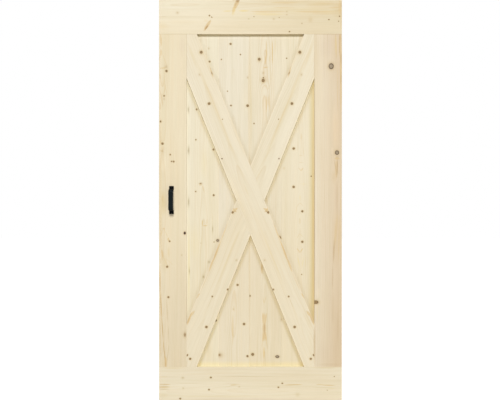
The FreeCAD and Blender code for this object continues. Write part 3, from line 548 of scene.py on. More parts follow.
            # no arris shows where the braces butt at the crossing; on the open edges painted light
            # lifts the brace's front face along its arrises, more along one long edge than the other
            zc = m.sub(pz, CENTRE_Z)
            fall, rise = m.mul(px, math.cos(LEAN)), m.mul(zc, math.sin(LEAN))
            inner = m.math("MAXIMUM", m.math("ABSOLUTE", m.add(fall, rise)),
                           m.math("ABSOLUTE", m.sub(fall, rise)))
            free = m.remap(inner, 0.0662, 0.0670)
            painted_arris_light = m.mul(painted_arris_light, free)
            free = m.mul(free, m.remap(steep, 0.90, 0.97))
            reach = m.mul(u, cross)
            colour = m.mix(m.mul(m.remap(m.sub(half, reach), 0.0012, 0.0065, 1.0, 0.0), free),
                           colour, (1.13, 1.11, 1.08), "MULTIPLY")
            colour = m.mix(m.mul(m.remap(m.add(half, reach), 0.0012, 0.0065, 1.0, 0.0), free),
                           colour, (1.06, 1.05, 1.05), "MULTIPLY")
        # painted light: the arris colour is scaled by which way its bevel faces
        shade = m.remap(tilt[2], -0.35, 0.35, 1.62, 0.98, "LINEAR")
        colour = m.mix(painted_arris_light, colour, m.vector(shade, shade, shade), "MULTIPLY")

    if ledge:
        # painted light: faces that look up are painted paler, as if lit from above
        up = m.remap(m.vmath("DOT_PRODUCT", coords.outputs["Normal"], (0, 0, 1)), 0.6, 0.9)
        colour = m.mix(up, colour, ledge, "MULTIPLY")
    colour = m.mix(1.0, colour, tuple(PALE * t for t in tint), "MULTIPLY")
    shader = m.node("ShaderNodeBsdfPrincipled")
    m.put(shader.inputs["Base Color"], colour)
    rough = m.madd(fibre, 0.16, m.madd(late_share, -0.14, 0.56))
    if worn is not None:
        rough = m.madd(worn, -0.12, rough)
    if knot_mask is not None:
        rough = m.madd(knot_mask, -0.14, rough)
    m.put(shader.inputs["Roughness"], rough)
    shader.inputs["Specular IOR Level"].default_value = 0.32

    height = m.madd(late_share, 0.55, m.mul(fibre, 0.55))
    height = m.madd(broken, 0.30, height)
    if knot_mask is not None:
        height = m.madd(knot_mask, 0.45, height)
        height = m.madd(shake, -0.60, height)
    bump = m.node("ShaderNodeBump")
    bump.inputs["Strength"].default_value = 0.32
    bump.inputs["Distance"].default_value = 0.0006
    m.put(bump.inputs["Height"], height)
    m.put(shader.inputs["Normal"], bump.outputs[0])
    out = m.node("ShaderNodeOutputMaterial")
    m.put(out.inputs["Surface"], shader.outputs[0])
    return m.mat


def wear(node, material, bevel=0.0, segments=2, angle=40.0):
    """Gives a node of the frame its finish and an eased arris."""
    obj = NODES[node]
    obj.data.materials.clear()
    obj.data.materials.append(material)
    if bevel:
        weld = obj.modifiers.new("weld", "WELD")
        weld.merge_threshold = 0.00002
        ease = obj.modifiers.new("arris", "BEVEL")
        ease.width = bevel
        ease.segments = segments
        ease.limit_method = "ANGLE"
        ease.angle_limit = math.radians(angle)
        ease.harden_normals = False
    return obj


def board(node, **settings):
    wear(node, timber("wood_" + node, knots=KNOTS[node], **settings),
         0.0 if settings.get("panel") else 0.0005)


board("top_rail", along=(1, 0), centre=(0.0, -0.087), half=0.087, heart=(0.060, 0.055),
      slope=0.012, spacing=0.0046, contrast=0.42, seed=1.3, sway=0.010,
      early=(246, 235, 208), late=(222, 190, 136), tint=(1.010, 1.004, 0.998),
      shift=("v", -0.42, 0.40, (0.990, 0.990, 0.985), (0.900, 0.872, 0.805)),
      streaks=[("brown", 206.6, 27.2, 5.0, 22, 58, 1.0), ("orange", 207.4, 25.3, 10.5, 40, 57, 0.95),
               ("brown", 209.5, 21.7, 2.4, 17, 52, 0.30), ("brown", 238.0, 0.2, 12, 20, 60, 1.0), ("orange", 234.6, 0.2, 7, 16, 0, 0.60),
               ("orange", 236.4, 4.0, 13, 36, 64, 1.0), ("brown", 235.6, 4.6, 4.5, 14, 64, 0.40),
               ("orange", 233.6, 9.4, 9, 26, 76, 0.55),
               ("yellow", 234.0, 10.0, 12, 40, 74, 0.90), ("yellow", 300, 10, 28, 300, 0, 0.20),
               ("light", 180, 7, 36, 190, 0, 0.60), ("light", 300, 25, 46, 330, 0, 0.80),
               ("yellow", 262, 13.4, 13, 70, 0, 0.42), ("yellow", 327, 11.6, 18, 66, 0, 0.30),
               ("tan", 300, 2, 24, 330, 0, 0.75), ("tan", 340, 9, 75, 58, 0, 1.0),
               ("tan", 162, 26, 32, 52, 0, 0.62), ("tan", 206, 20.6, 9, 18, 0, 0.75)],
      strokes=[("brown", 159, 16.6, 168, 16.6, 2.4, 0.32), ("brown", 160, 16.7, 206, 16.7, 1.8, 0.15),
               ("yellow", 222, 11.2, 233, 11.0, 6.5, 0.70), ("yellow", 238, 10.8, 250, 10.8, 7.5, 0.95), ("orange", 250, 11.6, 287, 11.7, 5.0, 0.80),
               ("orange", 294, 11.7, 341, 11.6, 5.2, 0.55), ("orange", 270, 2.6, 299, 2.6, 6.5, 0.55),
               ("orange", 339.8, -1, 339.8, 15, 9.5, 0.55),
               ("tan", 252, 0.6, 300, 0.6, 4.0, 0.90), ("orange", 341.1, 0, 341.1, 33, 2.8, 0.90), ("orange", 306, 6.4, 341, 3.6, 24, 0.24), ("brown", 341.2, 0, 341.2, 9, 2.4, 0.60),
               ("orange", 327, 7.4, 341, 7.4, 5.0, 0.45), ("orange", 311, 11.6, 321, 11.8, 9.0, 0.45),
               # painted light: this stroke lifts the shade along the rail's lower edge
               ("light", 313, 32.5, 341, 32.5, 2.6, 0.8),
               ("orange", 272, 7.6, 297, 7.6, 4.2, 0.45),
               ("orange", 310, 13.6, 338, 13.6, 6.0, 0.32), ("tan", 252, 14.4, 287, 14.4, 9.0, 0.70), ("yellow", 252, 14.2, 286, 14.2, 12, 0.42),
               ("orange", 314, 3.0, 339, 3.0, 5.0, 0.35),
               # painted light: the clean and light strokes at py 32.2 to 33.5 at the end of this line lift the
               # shade along the rail's lower edge
               ("light", 250, 19.6, 298, 19.6, 9.0, 1.0), ("light", 300, 19.4, 336, 19.0, 8.0, 0.85), ("tan", 298, 4.0, 340, 4.0, 15.0, 1.0), ("light", 165, 4.6, 203, 4.6, 7.0, 1.0), ("tan", 159, 22.6, 206, 22.6, 19, 0.34), ("clean", 190, 33.5, 304, 33.5, 6.0, 0.80), ("light", 190, 32.2, 304, 32.2, 11, 1.0), ("clean", 159, 32.6, 190, 32.6, 3.2, 0.65)])
board("bottom_rail", along=(1, 0), centre=(0.0, -1.953), half=0.087, heart=(-0.035, 0.062),
      slope=-0.010, spacing=0.0040, contrast=0.50, seed=4.1, sway=0.009,
      early=(243, 230, 202), late=(215, 182, 132), tint=(0.957, 0.967, 0.962),
      # painted light on the rail's upward faces
      ledge=(1.30, 1.32, 1.28),
      strokes=[("brown", 213, 376.4, 284, 376.5, 2.3, 0.34), ("brown", 159, 376.9, 183, 377.0, 3.0, 0.20),
               ("brown", 172, 383.4, 204, 383.4, 2.4, 0.15), ("brown", 224, 383.6, 241, 383.6, 1.9, 0.22),
               ("orange", 230.5, 385.0, 236.5, 384.8, 4.5, 0.70), ("brown", 237, 384.4, 224.5, 387.4, 2.1, 0.22),
               ("brown", 158, 384.4, 170, 384.5, 2.6, 0.30), ("brown", 158, 386.6, 170, 386.6, 3.2, 0.36), ("orange", 158, 384.4, 171, 384.5, 4.0, 0.70), ("orange", 158, 387.0, 170, 387.0, 5.0, 0.60), ("tan", 157, 387.6, 171, 387.8, 17, 0.75), ("brown", 180, 383.0, 216, 383.2, 2.0, 0.12),
               ("brown", 158, 389.4, 170, 389.4, 2.7, 0.46), ("orange", 158, 376.8, 168, 376.9, 3.6, 0.40),
               ("orange", 230, 384.6, 241, 384.9, 3.2, 0.45), ("light", 160, 379.6, 206, 379.6, 17, 0.60), ("light", 166, 385.3, 207, 385.0, 6.5, 1.0), ("clean", 172, 384.9, 204, 384.8, 4.0, 0.18),
               ("orange", 284, 384.7, 303, 384.7, 3.1, 0.95), ("orange", 281, 385.6, 294, 385.7, 2.2, 0.40),
               ("orange", 316, 384.3, 324, 384.7, 3.1, 0.85), ("orange", 321, 384.9, 336, 385.6, 3.1, 0.90),
               ("light", 313, 386.6, 337, 386.7, 3.6, 0.80), ("brown", 313, 387.6, 337, 387.6, 2.2, 0.22),
               ("yellow", 326, 388.5, 337, 388.5, 3.0, 0.50), ("tan", 160, 396.4, 290, 396.4, 7.0, 0.45), ("tan", 158, 395.6, 168, 395.6, 22, 0.60),
               ("tan", 311, 367.8, 343, 367.8, 8.0, 0.85), ("tan", 157, 368.0, 189, 368.0, 9.5, 0.95),
               ("grey", 150, 399.5, 350, 399.5, 8.5, 1.0), ("tan", 150, 399.6, 350, 399.6, 4.0, 0.45)])
board("left_stile", centre=(-0.395, CENTRE_Z), heart=(-0.052, 0.050), slope=-0.016,
      spacing=0.0044, contrast=0.50, seed=7.7, sway=0.009, butts=(0.846, None),
      early=(243, 230, 199), late=(218, 182, 126),
      fade=(-1.78, -0.95, (0.905, 0.880, 0.860), (1.0, 0.996, 0.995)),
      streaks=[("tan", 160.5, 215, 12, 330, 0, 0.80), ("tan", 168.6, 252.5, 10, 38, 0, 0.90),
               # painted light: the clean patch at 173.2, 201 lifts the shadow round the pull
               ("light", 181, 332, 52, 300, 0, 0.75), ("clean", 173.2, 201, 40, 112, 0, 1.0), ("tan", 163.8, 202.5, 23, 86, 0, 1.0),
               ("clean", 163.6, 163, 20, 62, 0, 0.48), ("light", 163.6, 163, 24, 80, 0, 1.0),
               ("tan", 164.0, 262, 24, 66, 0, 0.85), ("tan", 164.0, 364, 24, 58, 0, 0.62), ("grey", 182.5, 46, 20, 74, 0, 0.80),
               ("yellow", 163.2, 203, 20, 84, 0, 0.34), ("light", 177, 120, 52, 420, 0, 0.35)],
      strokes=[("orange", 160.6, 33.5, 161.3, 47, 6.2, 0.80), ("orange", 161.0, 49.5, 161.2, 55.5, 7.0, 0.80),
               ("orange", 160.8, 51, 159.4, 62, 3.0, 0.55), ("orange", 162.0, 52, 166.6, 66, 2.6, 0.50),
               ("orange", 160.0, 68.4, 166.0, 67.6, 4.6, 0.80), ("orange", 160.0, 74, 160.4, 79, 4.0, 0.50),
               ("orange", 164.6, 79, 164.2, 93, 2.4, 0.45), ("orange", 165.0, 84, 167.6, 98, 2.2, 0.45),
               ("orange", 160.2, 102, 160.4, 110, 5.0, 0.55),
               ("orange", 160.2, 140.5, 161.0, 144, 5.0, 0.75),
               ("orange", 160.4, 150.6, 163.2, 151.4, 4.2, 0.70),
               ("orange", 163.2, 228, 160.4, 237, 3.0, 0.50), ("orange", 163.6, 228, 168.2, 238, 2.6, 0.42),
               ("orange", 162.4, 228.8, 164.6, 228.6, 6.0, 0.60), ("orange", 168.2, 237.8, 168.6, 241, 6.5, 0.75),
               ("orange", 161.8, 249.5, 162.9, 258, 5.5, 0.75), ("orange", 161.6, 257, 160.0, 264, 2.6, 0.50),
               ("orange", 163.6, 257, 168.0, 267, 2.4, 0.50), ("orange", 165.0, 258, 173.5, 265, 2.4, 0.35),
               ("orange", 159.8, 266, 160.0, 294, 4.4, 1.0), ("brown", 159.8, 274, 160.0, 294, 2.6, 0.70),
               ("orange", 160.3, 290, 161.6, 318, 4.4, 1.0), ("brown", 160.4, 292, 161.6, 318, 2.8, 0.62),
               ("orange", 161.4, 314, 163.4, 342, 4.0, 0.80), ("brown", 161.4, 314, 163.3, 341, 2.6, 0.60),
               ("orange", 163.1, 338, 165.4, 364, 3.6, 0.80), ("brown", 163.1, 338, 165.3, 364, 2.5, 0.60),
               ("brown", 166.2, 296, 168.2, 326, 2.5, 0.46), ("brown", 168.2, 324, 169.3, 346, 2.6, 0.46),
               ("brown", 169.3, 342, 166.8, 364, 2.5, 0.50), ("orange", 165.8, 356, 165.8, 369, 6.6, 1.0),
               ("brown", 165.7, 362, 165.7, 367, 2.6, 0.50),
               # painted light: this clean stroke lifts the pull's shadow below it, and the light and clean strokes
               # along x 186 lift the shade at the stile's inner edge
               ("clean", 168.6, 215.4, 174.6, 215.4, 7.0, 1.0),
               ("light", 186.2, 60, 186.2, 345, 3.6, 1.0), ("clean", 186.3, 190, 186.3, 345, 3.4, 1.0),
               ("tan", 159.9, 302, 160.4, 366, 5.5, 1.0)])
board("right_stile", centre=(0.395, CENTRE_Z), heart=(0.115, 0.060), slope=0.020,
      spacing=0.0062, contrast=0.42, seed=12.9, sway=0.010, butts=(0.846, None),
      early=(240, 224, 197), late=(210, 172, 130), tint=(1.003, 1.010, 1.014),
      shift=("u", -0.066, 0.060, (1.0, 1.015, 1.005), (0.905, 0.855, 0.790)),
      fade=(-1.85, -1.15, (0.940, 0.925, 0.905), (1.0, 1.0, 1.0)),
      streaks=[("grey", 328.5, 46, 30, 90, 0, 0.70), ("brown", 335.2, 330, 29, 240, 0, 0.03),
               ("light", 323, 118, 70, 330, 0, 1.0), ("grey", 325, 352, 66, 90, 0, 0.40),
               ("orange", 336.4, 169, 9, 60, 0, 0.60), ("clean", 335.6, 126, 26, 150, 0, 0.62),
               ("tan", 336.4, 238, 32, 200, 0, 0.66), ("clean", 318.0, 292.6, 14, 34, 0, 0.55),
               ("tan", 333.6, 177, 20, 46, 0, 0.55), ("clean", 332.2, 151, 10, 30, 0, 0.60)],
      # painted light and shade: the light stroke at 316.2 lifts the shade at the stile's inner edge, and the brown
      # strokes at 314.7 and 314.9 paint the shadow line where the stile meets the panel
      strokes=[("light", 316.2, 38, 316.2, 335, 8.5, 1.0), ("brown", 314.7, 80, 314.7, 322, 2.3, 0.60), ("brown", 314.9, 322, 314.9, 366, 2.8, 0.50),
               ("brown", 314.8, 34.4, 343, 34.4, 2.6, 0.16), ("brown", 314.8, 364.4, 343, 364.4, 9.0, 0.10), ("orange", 341.0, 33, 341.0, 60, 2.6, 0.7),
               # painted light: the clean stroke at 316.4 lifts the shade at the stile's inner edge
               ("grey", 323.9, 33, 323.8, 60, 5.6, 1.0), ("grey", 323.6, 57, 324.6, 84, 4.4, 1.0), ("brown", 323.9, 33, 324.0, 72, 4.2, 0.08), ("grey", 321.6, 34, 321.6, 62, 9.0, 0.60), ("clean", 316.4, 34, 316.4, 120, 3.6, 0.40), ("yellow", 335.9, 33, 336.0, 58, 5.0, 0.60), ("brown", 339.9, 33, 339.5, 56, 3.6, 0.50), ("orange", 339.6, 33, 339.6, 58, 6.0, 0.55), ("orange", 341.5, 33, 341.5, 113, 4.6, 1.0), ("grey", 333.4, 58, 333.2, 84, 3.0, 0.60), ("light", 335.0, 74, 335.0, 122, 30, 0.95), ("light", 330.0, 34, 330.0, 70, 22, 0.50), ("grey", 328.0, 84, 328.2, 116, 3.4, 0.70),
               ("grey", 327.6, 36, 328.2, 53, 2.6, 0.60), ("grey", 324.6, 74, 324.6, 150, 2.8, 0.60),
               ("grey", 331.0, 74, 331.0, 97, 3.4, 0.70), ("grey", 319.2, 205, 319.4, 300, 2.8, 0.60),
               ("grey", 326.2, 225, 326.2, 300, 2.8, 0.60), ("grey", 329.4, 262, 329.4, 366, 3.0, 0.80),
               ("orange", 340.6, 33, 340.7, 113, 3.8, 0.90), ("brown", 341.0, 51, 341.0, 66, 3.0, 0.70),
               ("brown", 341.0, 73, 341.0, 85, 3.0, 0.55), ("orange", 337.4, 58, 337.6, 113, 2.8, 0.35),
               ("orange", 335.0, 34, 336.6, 59, 8.0, 0.38), ("orange", 335.0, 158.4, 339.2, 158.4, 8.0, 0.85),
               ("brown", 335.6, 156.9, 338.8, 156.9, 3.6, 0.40), ("brown", 334.0, 158.5, 336.4, 173, 2.6, 0.40),
               ("orange", 340.0, 33.5, 340.0, 42, 6.5, 0.90), ("brown", 339.8, 33.5, 339.8, 42, 5.0, 0.55), ("brown", 337.6, 158, 336.6, 179, 4.2, 0.70),
               ("grey", 335.8, 178, 335.8, 217, 5.0, 0.80), ("brown", 337.0, 178, 337.0, 217, 6.0, 0.22),
               ("orange", 337.6, 213, 334.6, 247, 9.0, 0.42), ("brown", 334.4, 238, 333.2, 265, 6.5, 0.48),
               ("orange", 339.6, 213, 338.4, 263, 6.0, 0.42), ("brown", 332.8, 262, 332.2, 293, 5.0, 0.28),
               ("brown", 333.0, 292, 333.0, 327, 9.0, 0.16), ("brown", 338.0, 305, 338.0, 346, 3.0, 0.30),
               ("yellow", 317.4, 298, 317.4, 327, 3.2, 0.40), ("orange", 340.8, 155, 340.8, 300, 3.0, 0.45)])

PANEL = dict(face=0.009, spacing=0.0048, panel=True, half=0.081,
             fade=(-1.78, -0.70, (0.930, 0.914, 0.880), (0.968, 0.975, 0.985)))
board("panel_board_1", centre=(-0.2443, CENTRE_Z), heart=(0.002, 0.046), slope=0.022,
      seed=17.3, contrast=0.44, early=(246, 234, 206), late=(222, 188, 132),
      tint=(1.03, 1.048, 1.065), seam=((-0.1636, 0.0012, 1.12),), **PANEL,
      streaks=[("orange", 200.8, 184.6, 11, 9, 0, 0.55), ("yellow", 195.0, 242, 42, 120, 0, 0.25),
               # painted shade: the tan streak at 209, 352 darkens the panel beside the lower brace
               ("yellow", 204.0, 164, 20, 110, 0, 0.22), ("tan", 209.0, 352, 25, 84, 0, 0.66)],
      strokes=[("orange", 202.3, 219.6, 202.4, 226.4, 3.8, 0.85), ("orange", 203.0, 225.7, 207.6, 225.7, 3.6, 0.80),
               ("orange", 206.9, 218.6, 206.9, 225.6, 3.0, 0.60), ("orange", 202.0, 184.5, 204.6, 193, 3.2, 0.45),
               ("yellow", 188.9, 212, 188.9, 314, 8.0, 0.70), ("orange", 201.0, 155, 201.0, 178, 2.1, 0.25),
               ("orange", 206.8, 155, 206.8, 178, 2.1, 0.25), ("brown", 213.3, 351, 213.3, 365, 1.9, 0.28),
               ("orange", 212.6, 213, 212.6, 224, 1.9, 0.30)])
board("panel_board_2", centre=(-0.0841, CENTRE_Z), heart=(-0.001, 0.052), slope=0.016,
      seed=23.9, contrast=0.34, early=(246, 235, 210), late=(224, 194, 142), **PANEL,
      seam=((-0.0046, 0.0022, 1.13), (-0.1636, 0.0012, 1.12)),
      streaks=[("light", 244.0, 128, 24, 170, 0, 0.9), ("clean", 245.2, 101, 17, 84, 0, 0.48),
               ("light", 236.5, 286, 22, 66, 0, 0.85)],
      strokes=[("tan", 248.4, 34, 248.4, 166, 5.6, 1.0), ("tan", 248.9, 33, 248.9, 370, 5.2, 0.62), ("orange", 232.8, 313, 232.6, 347, 6.0, 0.62), ("orange", 233.8, 305.5, 234.2, 312, 3.2, 0.55),
               ("brown", 236.8, 335, 236.9, 363, 1.9, 0.22), ("brown", 230.6, 296, 229.6, 350, 1.7, 0.13)])
board("panel_board_3", centre=(0.0762, CENTRE_Z), heart=(0.000, 0.042), slope=0.024,
      seed=31.1, contrast=0.44, early=(245, 233, 205), late=(220, 182, 122), **PANEL,
      seam=((-0.0046, 0.0022, 1.13),),
      streaks=[("tan", 251.0, 110, 10, 330, 0, 0.85), ("light", 253.2, 316, 24, 560, 0, 1.0),
               ("light", 255.6, 134, 16, 120, 0, 0.9), ("light", 280.5, 118, 16, 130, 0, 0.7),
               ("orange", 264.3, 319.5, 12.5, 42, 0, 0.85), ("orange", 264.4, 335.0, 13.5, 38, 0, 1.0), ("tan", 275.2, 45, 8, 68, 0, 0.80), ("clean", 264.5, 108, 6, 92, 0, 0.75),
               ("orange", 264.4, 328.6, 12.5, 46, 0, 1.0), ("brown", 264.4, 328.5, 5.4, 34, 0, 0.58),
               ("orange", 262.0, 268.5, 6.5, 36, 0, 1.0), ("brown", 262.0, 267.6, 5.2, 19, 0, 0.65)],
      strokes=[("tan", 250.3, 34, 250.3, 166, 5.2, 1.0), ("tan", 250.1, 33, 250.1, 370, 5.0, 0.50),
               ("orange", 266.4, 40.0, 266.6, 59.5, 5.6, 0.66), ("orange", 265.5, 55, 265.2, 65, 4.2, 0.75),
               ("orange", 269.4, 55, 269.8, 62.5, 2.7, 0.45), ("orange", 272.3, 39, 272.3, 65, 3.6, 1.0),
               ("orange", 263.5, 67.8, 267.9, 67.0, 4.2, 0.85), ("orange", 272.0, 70, 270.8, 84, 2.3, 0.45),
               ("orange", 270.9, 83, 267.8, 90, 2.5, 0.45), ("orange", 265.0, 86, 267.8, 90, 2.1, 0.35),
               ("orange", 266.6, 93, 266.4, 113, 3.8, 0.68), ("orange", 269.4, 93, 269.6, 113, 3.8, 0.62),
               ("orange", 268.0, 96, 268.0, 106.5, 7.5, 0.42), ("orange", 262.8, 88, 262.8, 112, 2.2, 0.28),
               ("brown", 277.5, 36, 277.5, 62, 3.6, 0.10), ("orange", 262.5, 312.5, 263.9, 325, 4.6, 1.0),
               ("orange", 266.6, 312.5, 265.0, 325, 4.6, 1.0), ("orange", 263.6, 331, 262.6, 342.5, 4.6, 1.0),
               ("orange", 265.2, 331, 266.5, 341.5, 4.6, 1.0), ("orange", 266.4, 340, 267.5, 350, 2.3, 0.75),
               ("orange", 262.4, 341, 261.6, 348, 2.3, 0.50), ("orange", 264.1, 346.5, 263.9, 358.5, 5.6, 0.72), ("yellow", 263.9, 346, 263.9, 359, 7.0, 0.60),
               ("orange", 262.6, 296.5, 264.1, 303.5, 2.8, 0.50), ("orange", 266.0, 296, 264.4, 303.5, 2.8, 0.50),
               ("brown", 260.3, 268, 260.3, 363, 1.8, 0.20), ("brown", 267.8, 296, 267.6, 363, 1.8, 0.26),
               ("brown", 261.9, 274, 261.8, 313, 1.8, 0.24), ("brown", 257.6, 330, 257.6, 363, 1.8, 0.16),
               ("brown", 270.8, 340, 270.8, 363, 1.8, 0.16), ("brown", 261.0, 347, 261.0, 363, 2.0, 0.26)])
board("panel_board_4", centre=(0.241, CENTRE_Z), heart=(0.016, 0.048), slope=0.024,
      seed=39.7, contrast=0.42, early=(245, 232, 203), late=(222, 187, 126),
      tint=(1.010, 1.012, 1.004), **PANEL,
      strokes=[("orange", 301.2, 133, 301.4, 140, 4.0, 0.40), ("orange", 303.4, 135, 303.6, 158, 1.9, 0.32),
               ("orange", 298.0, 140, 297.6, 152, 1.9, 0.28), ("orange", 298.8, 155.5, 303.2, 155.5, 3.0, 0.32),
               ("orange", 298.8, 162.5, 303.6, 162.5, 3.0, 0.38), ("orange", 298.4, 167.6, 301.2, 171, 3.4, 0.52),
               ("orange", 303.6, 167.6, 300.8, 171, 3.4, 0.52), ("yellow", 303.4, 179, 303.4, 191, 2.2, 0.40),
               ("yellow", 299.0, 184, 308.0, 184, 4.0, 0.35), ("yellow", 300.0, 194, 300.0, 201, 6.0, 0.35),
               ("orange", 296.6, 207.4, 299.9, 202.4, 2.7, 0.38), ("orange", 299.6, 202.4, 303.4, 206.4, 2.7, 0.38),
               ("orange", 296.6, 206, 296.8, 214, 2.2, 0.28), ("orange", 299.8, 218, 299.8, 224, 6.0, 0.50),
               ("orange", 296.5, 239, 299.7, 233.4, 2.7, 0.38), ("orange", 299.6, 233.4, 303.2, 237.2, 2.5, 0.34),
               ("orange", 296.8, 248.2, 299.9, 252.2, 3.4, 0.72), ("orange", 303.2, 248, 300.1, 252.2, 3.4, 0.72),
               ("orange", 298.4, 252, 301.4, 252, 4.0, 0.55), ("yellow", 297.5, 255.5, 300.1, 268.5, 3.4, 0.85),
               ("yellow", 303.7, 255.5, 302.3, 268.5, 3.4, 0.85), ("orange", 306.0, 255, 305.2, 268, 2.1, 0.32),
               ("orange", 312.7, 110, 312.9, 322, 5.0, 0.35)])


def brace(node, seed, legs, lean, flip=False, tint=(1.0, 1.0, 1.0), extra=()):
    """legs: (side, part) pairs, with side -1 left or 1 right in the front view."""
    knots, streaks, strokes = [], [], []
    for side, part in legs:
        for kind, dx, y, half_w, half_l in LEG_KNOTS[part]:
            knots.append((kind, 250.5 + side * dx, y, half_w, half_l))
        for kind, dx, y, half_w, half_l, turn, amount in LEG_STREAKS[part]:
            streaks.append((kind, 250.5 + side * dx, y, half_w, half_l, turn, amount))
        for kind, dx0, y0, dx1, y1, half_w, amount in LEG_STROKES[part]:
            strokes.append((kind, 250.5 + side * dx0, y0, 250.5 + side * dx1, y1, half_w, amount))
    material = timber("wood_" + node, along=(math.sin(LEAN) * lean, math.cos(LEAN)),
                      half=0.066, heart=(0.008, 0.060), slope=0.014, spacing=0.0050,
                      contrast=0.40, sway=0.010, seed=seed, early=(245, 233, 205), tint=tint,
                      late=(221, 190, 138), knots=knots, streaks=streaks + list(extra),
                      strokes=strokes, flip=flip,
                      butts=(0.846, 0.325), cross=lean,
                      fade=(-1.82, -0.25, (0.942, 0.936, 0.922), (0.968, 0.972, 0.980)))
    wear(node, material, 0.0004)


brace("front_brace_long", 44.3, [(-1, "upper"), (1, "lower")], -1, tint=(1.010, 1.010, 1.014),
      extra=[("light", 250.5, 200.5, 64, 150, 0, 0.45), ("tan", 282.0, 285.0, 64, 420, 0, 0.14),
             # painted shade: this brown streak and the tan one at 311.4 darken the brace along the right stile's
             # shadow line
             ("brown", 314.1, 344.0, 4.2, 122, -22.15, 0.46),
             ("tan", 311.4, 346.0, 24, 130, -22.15, 0.40), ("clean", 235.2, 190.0, 10.5, 140, 0, 0.85),
             ("light", 230.8, 180.0, 17, 130, 0, 1.0), ("light", 255.6, 226.0, 22, 64, 0, 1.0),
             ("tan", 237.0, 136.0, 13, 165, 0, 0.62), ("tan", 246.4, 190.4, 7, 62, 0, 0.75),
             ("clean", 272.4, 217.0, 12, 42, 0, 0.60), ("tan", 308.4, 321.0, 20, 80, 0, 0.58), ("clean", 243.4, 209.4, 8, 52, 0, 0.65)])
brace("front_brace_upper_half", 44.3, [(1, "upper")], 1, tint=(1.008, 1.008, 1.006),
      extra=[("tan", 299.4, 80.0, 9, 62, 0, 0.65)])
brace("front_brace_lower_half", 44.3, [(-1, "lower")], 1, extra=[("clean", 245.0, 227.0, 8, 46, 0, 0.60)])
brace("back_brace_long", 61.7, [(-1, "lower"), (1, "upper")], 1, flip=True)
brace("back_brace_upper_half", 66.2, [(-1, "upper")], -1, flip=True)
brace("back_brace_lower_half", 70.9, [(1, "lower")], -1, flip=True)


# ------------------------------------------------------------------ metal
def coated(name, base, rough, grit, rub, gloss, grip=None):
    """Fine-textured black powder coat, rubbed a little on its high places."""
    m = Maker(name)
    place = m.node("ShaderNodeTexCoord").outputs["Object"]
    fine = m.noise(place, grit, 2.0, 0.6)
    broad = m.noise(place, 55.0, 2.0, 0.5)
    shade, _ = m.ramp(broad, [(0.3, tuple(c * 0.8 for c in base)),
                              (0.7, tuple(c * 1.25 for c in base))])
    if grip:
        # the grip, which stands furthest out from the door, is paler than the feet
        held = m.remap(m.split(place)[1], -0.057, -0.046, 1.0, 0.0)
        shade = m.mix(held, shade, grip)
    worn = m.mul(m.remap(m.noise(place, 240.0, 3.0, 0.65), 0.60, 0.78), rub)
    colour = m.mix(worn, shade, (0.10, 0.10, 0.105))
    shader = m.node("ShaderNodeBsdfPrincipled")
    m.put(shader.inputs["Base Color"], colour)
    m.put(shader.inputs["Roughness"], m.madd(fine, 0.18, m.madd(worn, -0.10, rough)))
    shader.inputs["Specular IOR Level"].default_value = gloss
    bump = m.node("ShaderNodeBump")
    bump.inputs["Strength"].default_value = 0.35
    bump.inputs["Distance"].default_value = 0.0002
    m.put(bump.inputs["Height"], fine)
    m.put(shader.inputs["Normal"], bump.outputs[0])
    out = m.node("ShaderNodeOutputMaterial")
    m.put(out.inputs["Surface"], shader.outputs[0])
    return m.mat


black = coated("metal_pull", (0.0010, 0.0011, 0.0017), 0.44, 1900.0, 0.08, 0.055,
               (0.0052, 0.0082, 0.0086))
screws = coated("metal_screw", (0.0030, 0.0030, 0.0036), 0.36, 2600.0, 0.30, 0.12)
pull = NODES["pull_handle"]
pull.data.materials.clear()
pull.data.materials.append(black)
for n in ("handle_screw_upper", "handle_screw_lower"):
    NODES[n].data.materials.clear()
    NODES[n].data.materials.append(screws)

# ------------------------------------------------------------------ stage
mesh = bpy.data.meshes.new("floor")
reach = 14.0
mesh.from_pydata([(-reach, -reach, -2.050), (reach, -reach, -2.050),
                  (reach, reach, -2.050), (-reach, reach, -2.050)], [], [(0, 1, 2, 3)])
floor = bpy.data.objects.new("studio_floor", mesh)
bpy.context.scene.collection.objects.link(floor)
m = Maker("studio_floor_white")
place = m.node("ShaderNodeTexCoord").outputs["Object"]
tone, _ = m.ramp(m.noise(place, 0.6, 2.0, 0.5), [(0.3, (0.61, 0.61, 0.61)),
                                                 (0.7, (0.64, 0.64, 0.64))])
shader = m.node("ShaderNodeBsdfPrincipled")
m.put(shader.inputs["Base Color"], tone)
shader.inputs["Roughness"].default_value = 0.9
shader.inputs["Emission Color"].default_value = (1, 1, 1, 1)
shader.inputs["Emission Strength"].default_value = 0.40
out = m.node("ShaderNodeOutputMaterial")
m.put(out.inputs["Surface"], shader.outputs[0])
mesh.materials.append(m.mat)

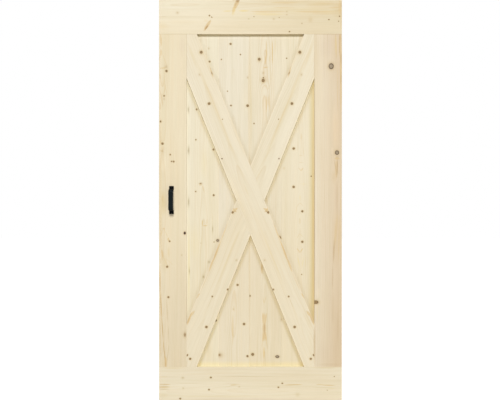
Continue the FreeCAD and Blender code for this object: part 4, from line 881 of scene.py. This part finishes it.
world = bpy.data.worlds.new("studio")
bpy.context.scene.world = world
world.use_nodes = True
wt = world.node_tree
wt.nodes.clear()
sky = wt.nodes.new("ShaderNodeBackground")
sky.inputs["Color"].default_value = (1.0, 1.0, 1.0, 1.0)
sky.inputs["Strength"].default_value = 0.30
seen = wt.nodes.new("ShaderNodeBackground")
seen.inputs["Color"].default_value = (1.0, 1.0, 1.0, 1.0)
seen.inputs["Strength"].default_value = 1.0
path = wt.nodes.new("ShaderNodeLightPath")
pick = wt.nodes.new("ShaderNodeMixShader")
wt.links.new(path.outputs["Is Camera Ray"], pick.inputs[0])
wt.links.new(sky.outputs[0], pick.inputs[1])
wt.links.new(seen.outputs[0], pick.inputs[2])
wo = wt.nodes.new("ShaderNodeOutputWorld")
wt.links.new(pick.outputs[0], wo.inputs["Surface"])


def lamp(name, power, size, place, target, colour=(1, 1, 1)):
    data = bpy.data.lights.new(name, "AREA")
    data.shape = "SQUARE"
    data.size = size
    data.energy = power
    data.color = colour
    obj = bpy.data.objects.new(name, data)
    bpy.context.scene.collection.objects.link(obj)
    obj.location = place
    obj.rotation_mode = "QUATERNION"
    obj.rotation_quaternion = (Vector(target) - Vector(place)).to_track_quat("-Z", "Y")
    return obj


middle = Vector((0, 0, CENTRE_Z))
aim = Vector((0.0, -1.0, 1.03)).normalized()
sun = bpy.data.lights.new("key_far", "SUN")
sun.energy = 3.26
sun.angle = math.radians(11.0)
far = bpy.data.objects.new("key_far", sun)
bpy.context.scene.collection.objects.link(far)
far.location = middle + aim * 9.0
far.rotation_mode = "QUATERNION"
far.rotation_quaternion = (-aim).to_track_quat("-Z", "Y")
lamp("key_near", 116.0, 1.45, middle + aim * 7.0, middle)
lamp("back_softbox", 160.0, 2.5, middle + Vector((0.3, 1.0, 0.8)).normalized() * 7.0, middle)

# ------------------------------------------------------------------ camera
data = bpy.data.cameras.new("camera")
data.type = "PERSP"
data.sensor_fit = "HORIZONTAL"
data.sensor_width = 36.0
data.lens = 36.0 * REACH / (500.0 * MM_PX)
data.clip_start = 0.05
data.clip_end = 60.0
camera = bpy.data.objects.new("camera", data)
bpy.context.scene.collection.objects.link(camera)
camera.location = (EYE[0], -(0.020 + REACH), EYE[1])
camera.rotation_euler = (math.radians(90.0), 0.0, 0.0)
bpy.context.scene.camera = camera

bpy.context.scene.view_settings.view_transform = "Standard"
bpy.context.scene.view_settings.look = "None"
bpy.context.scene.view_settings.exposure = 0.0
bpy.context.scene.view_settings.gamma = 1.0
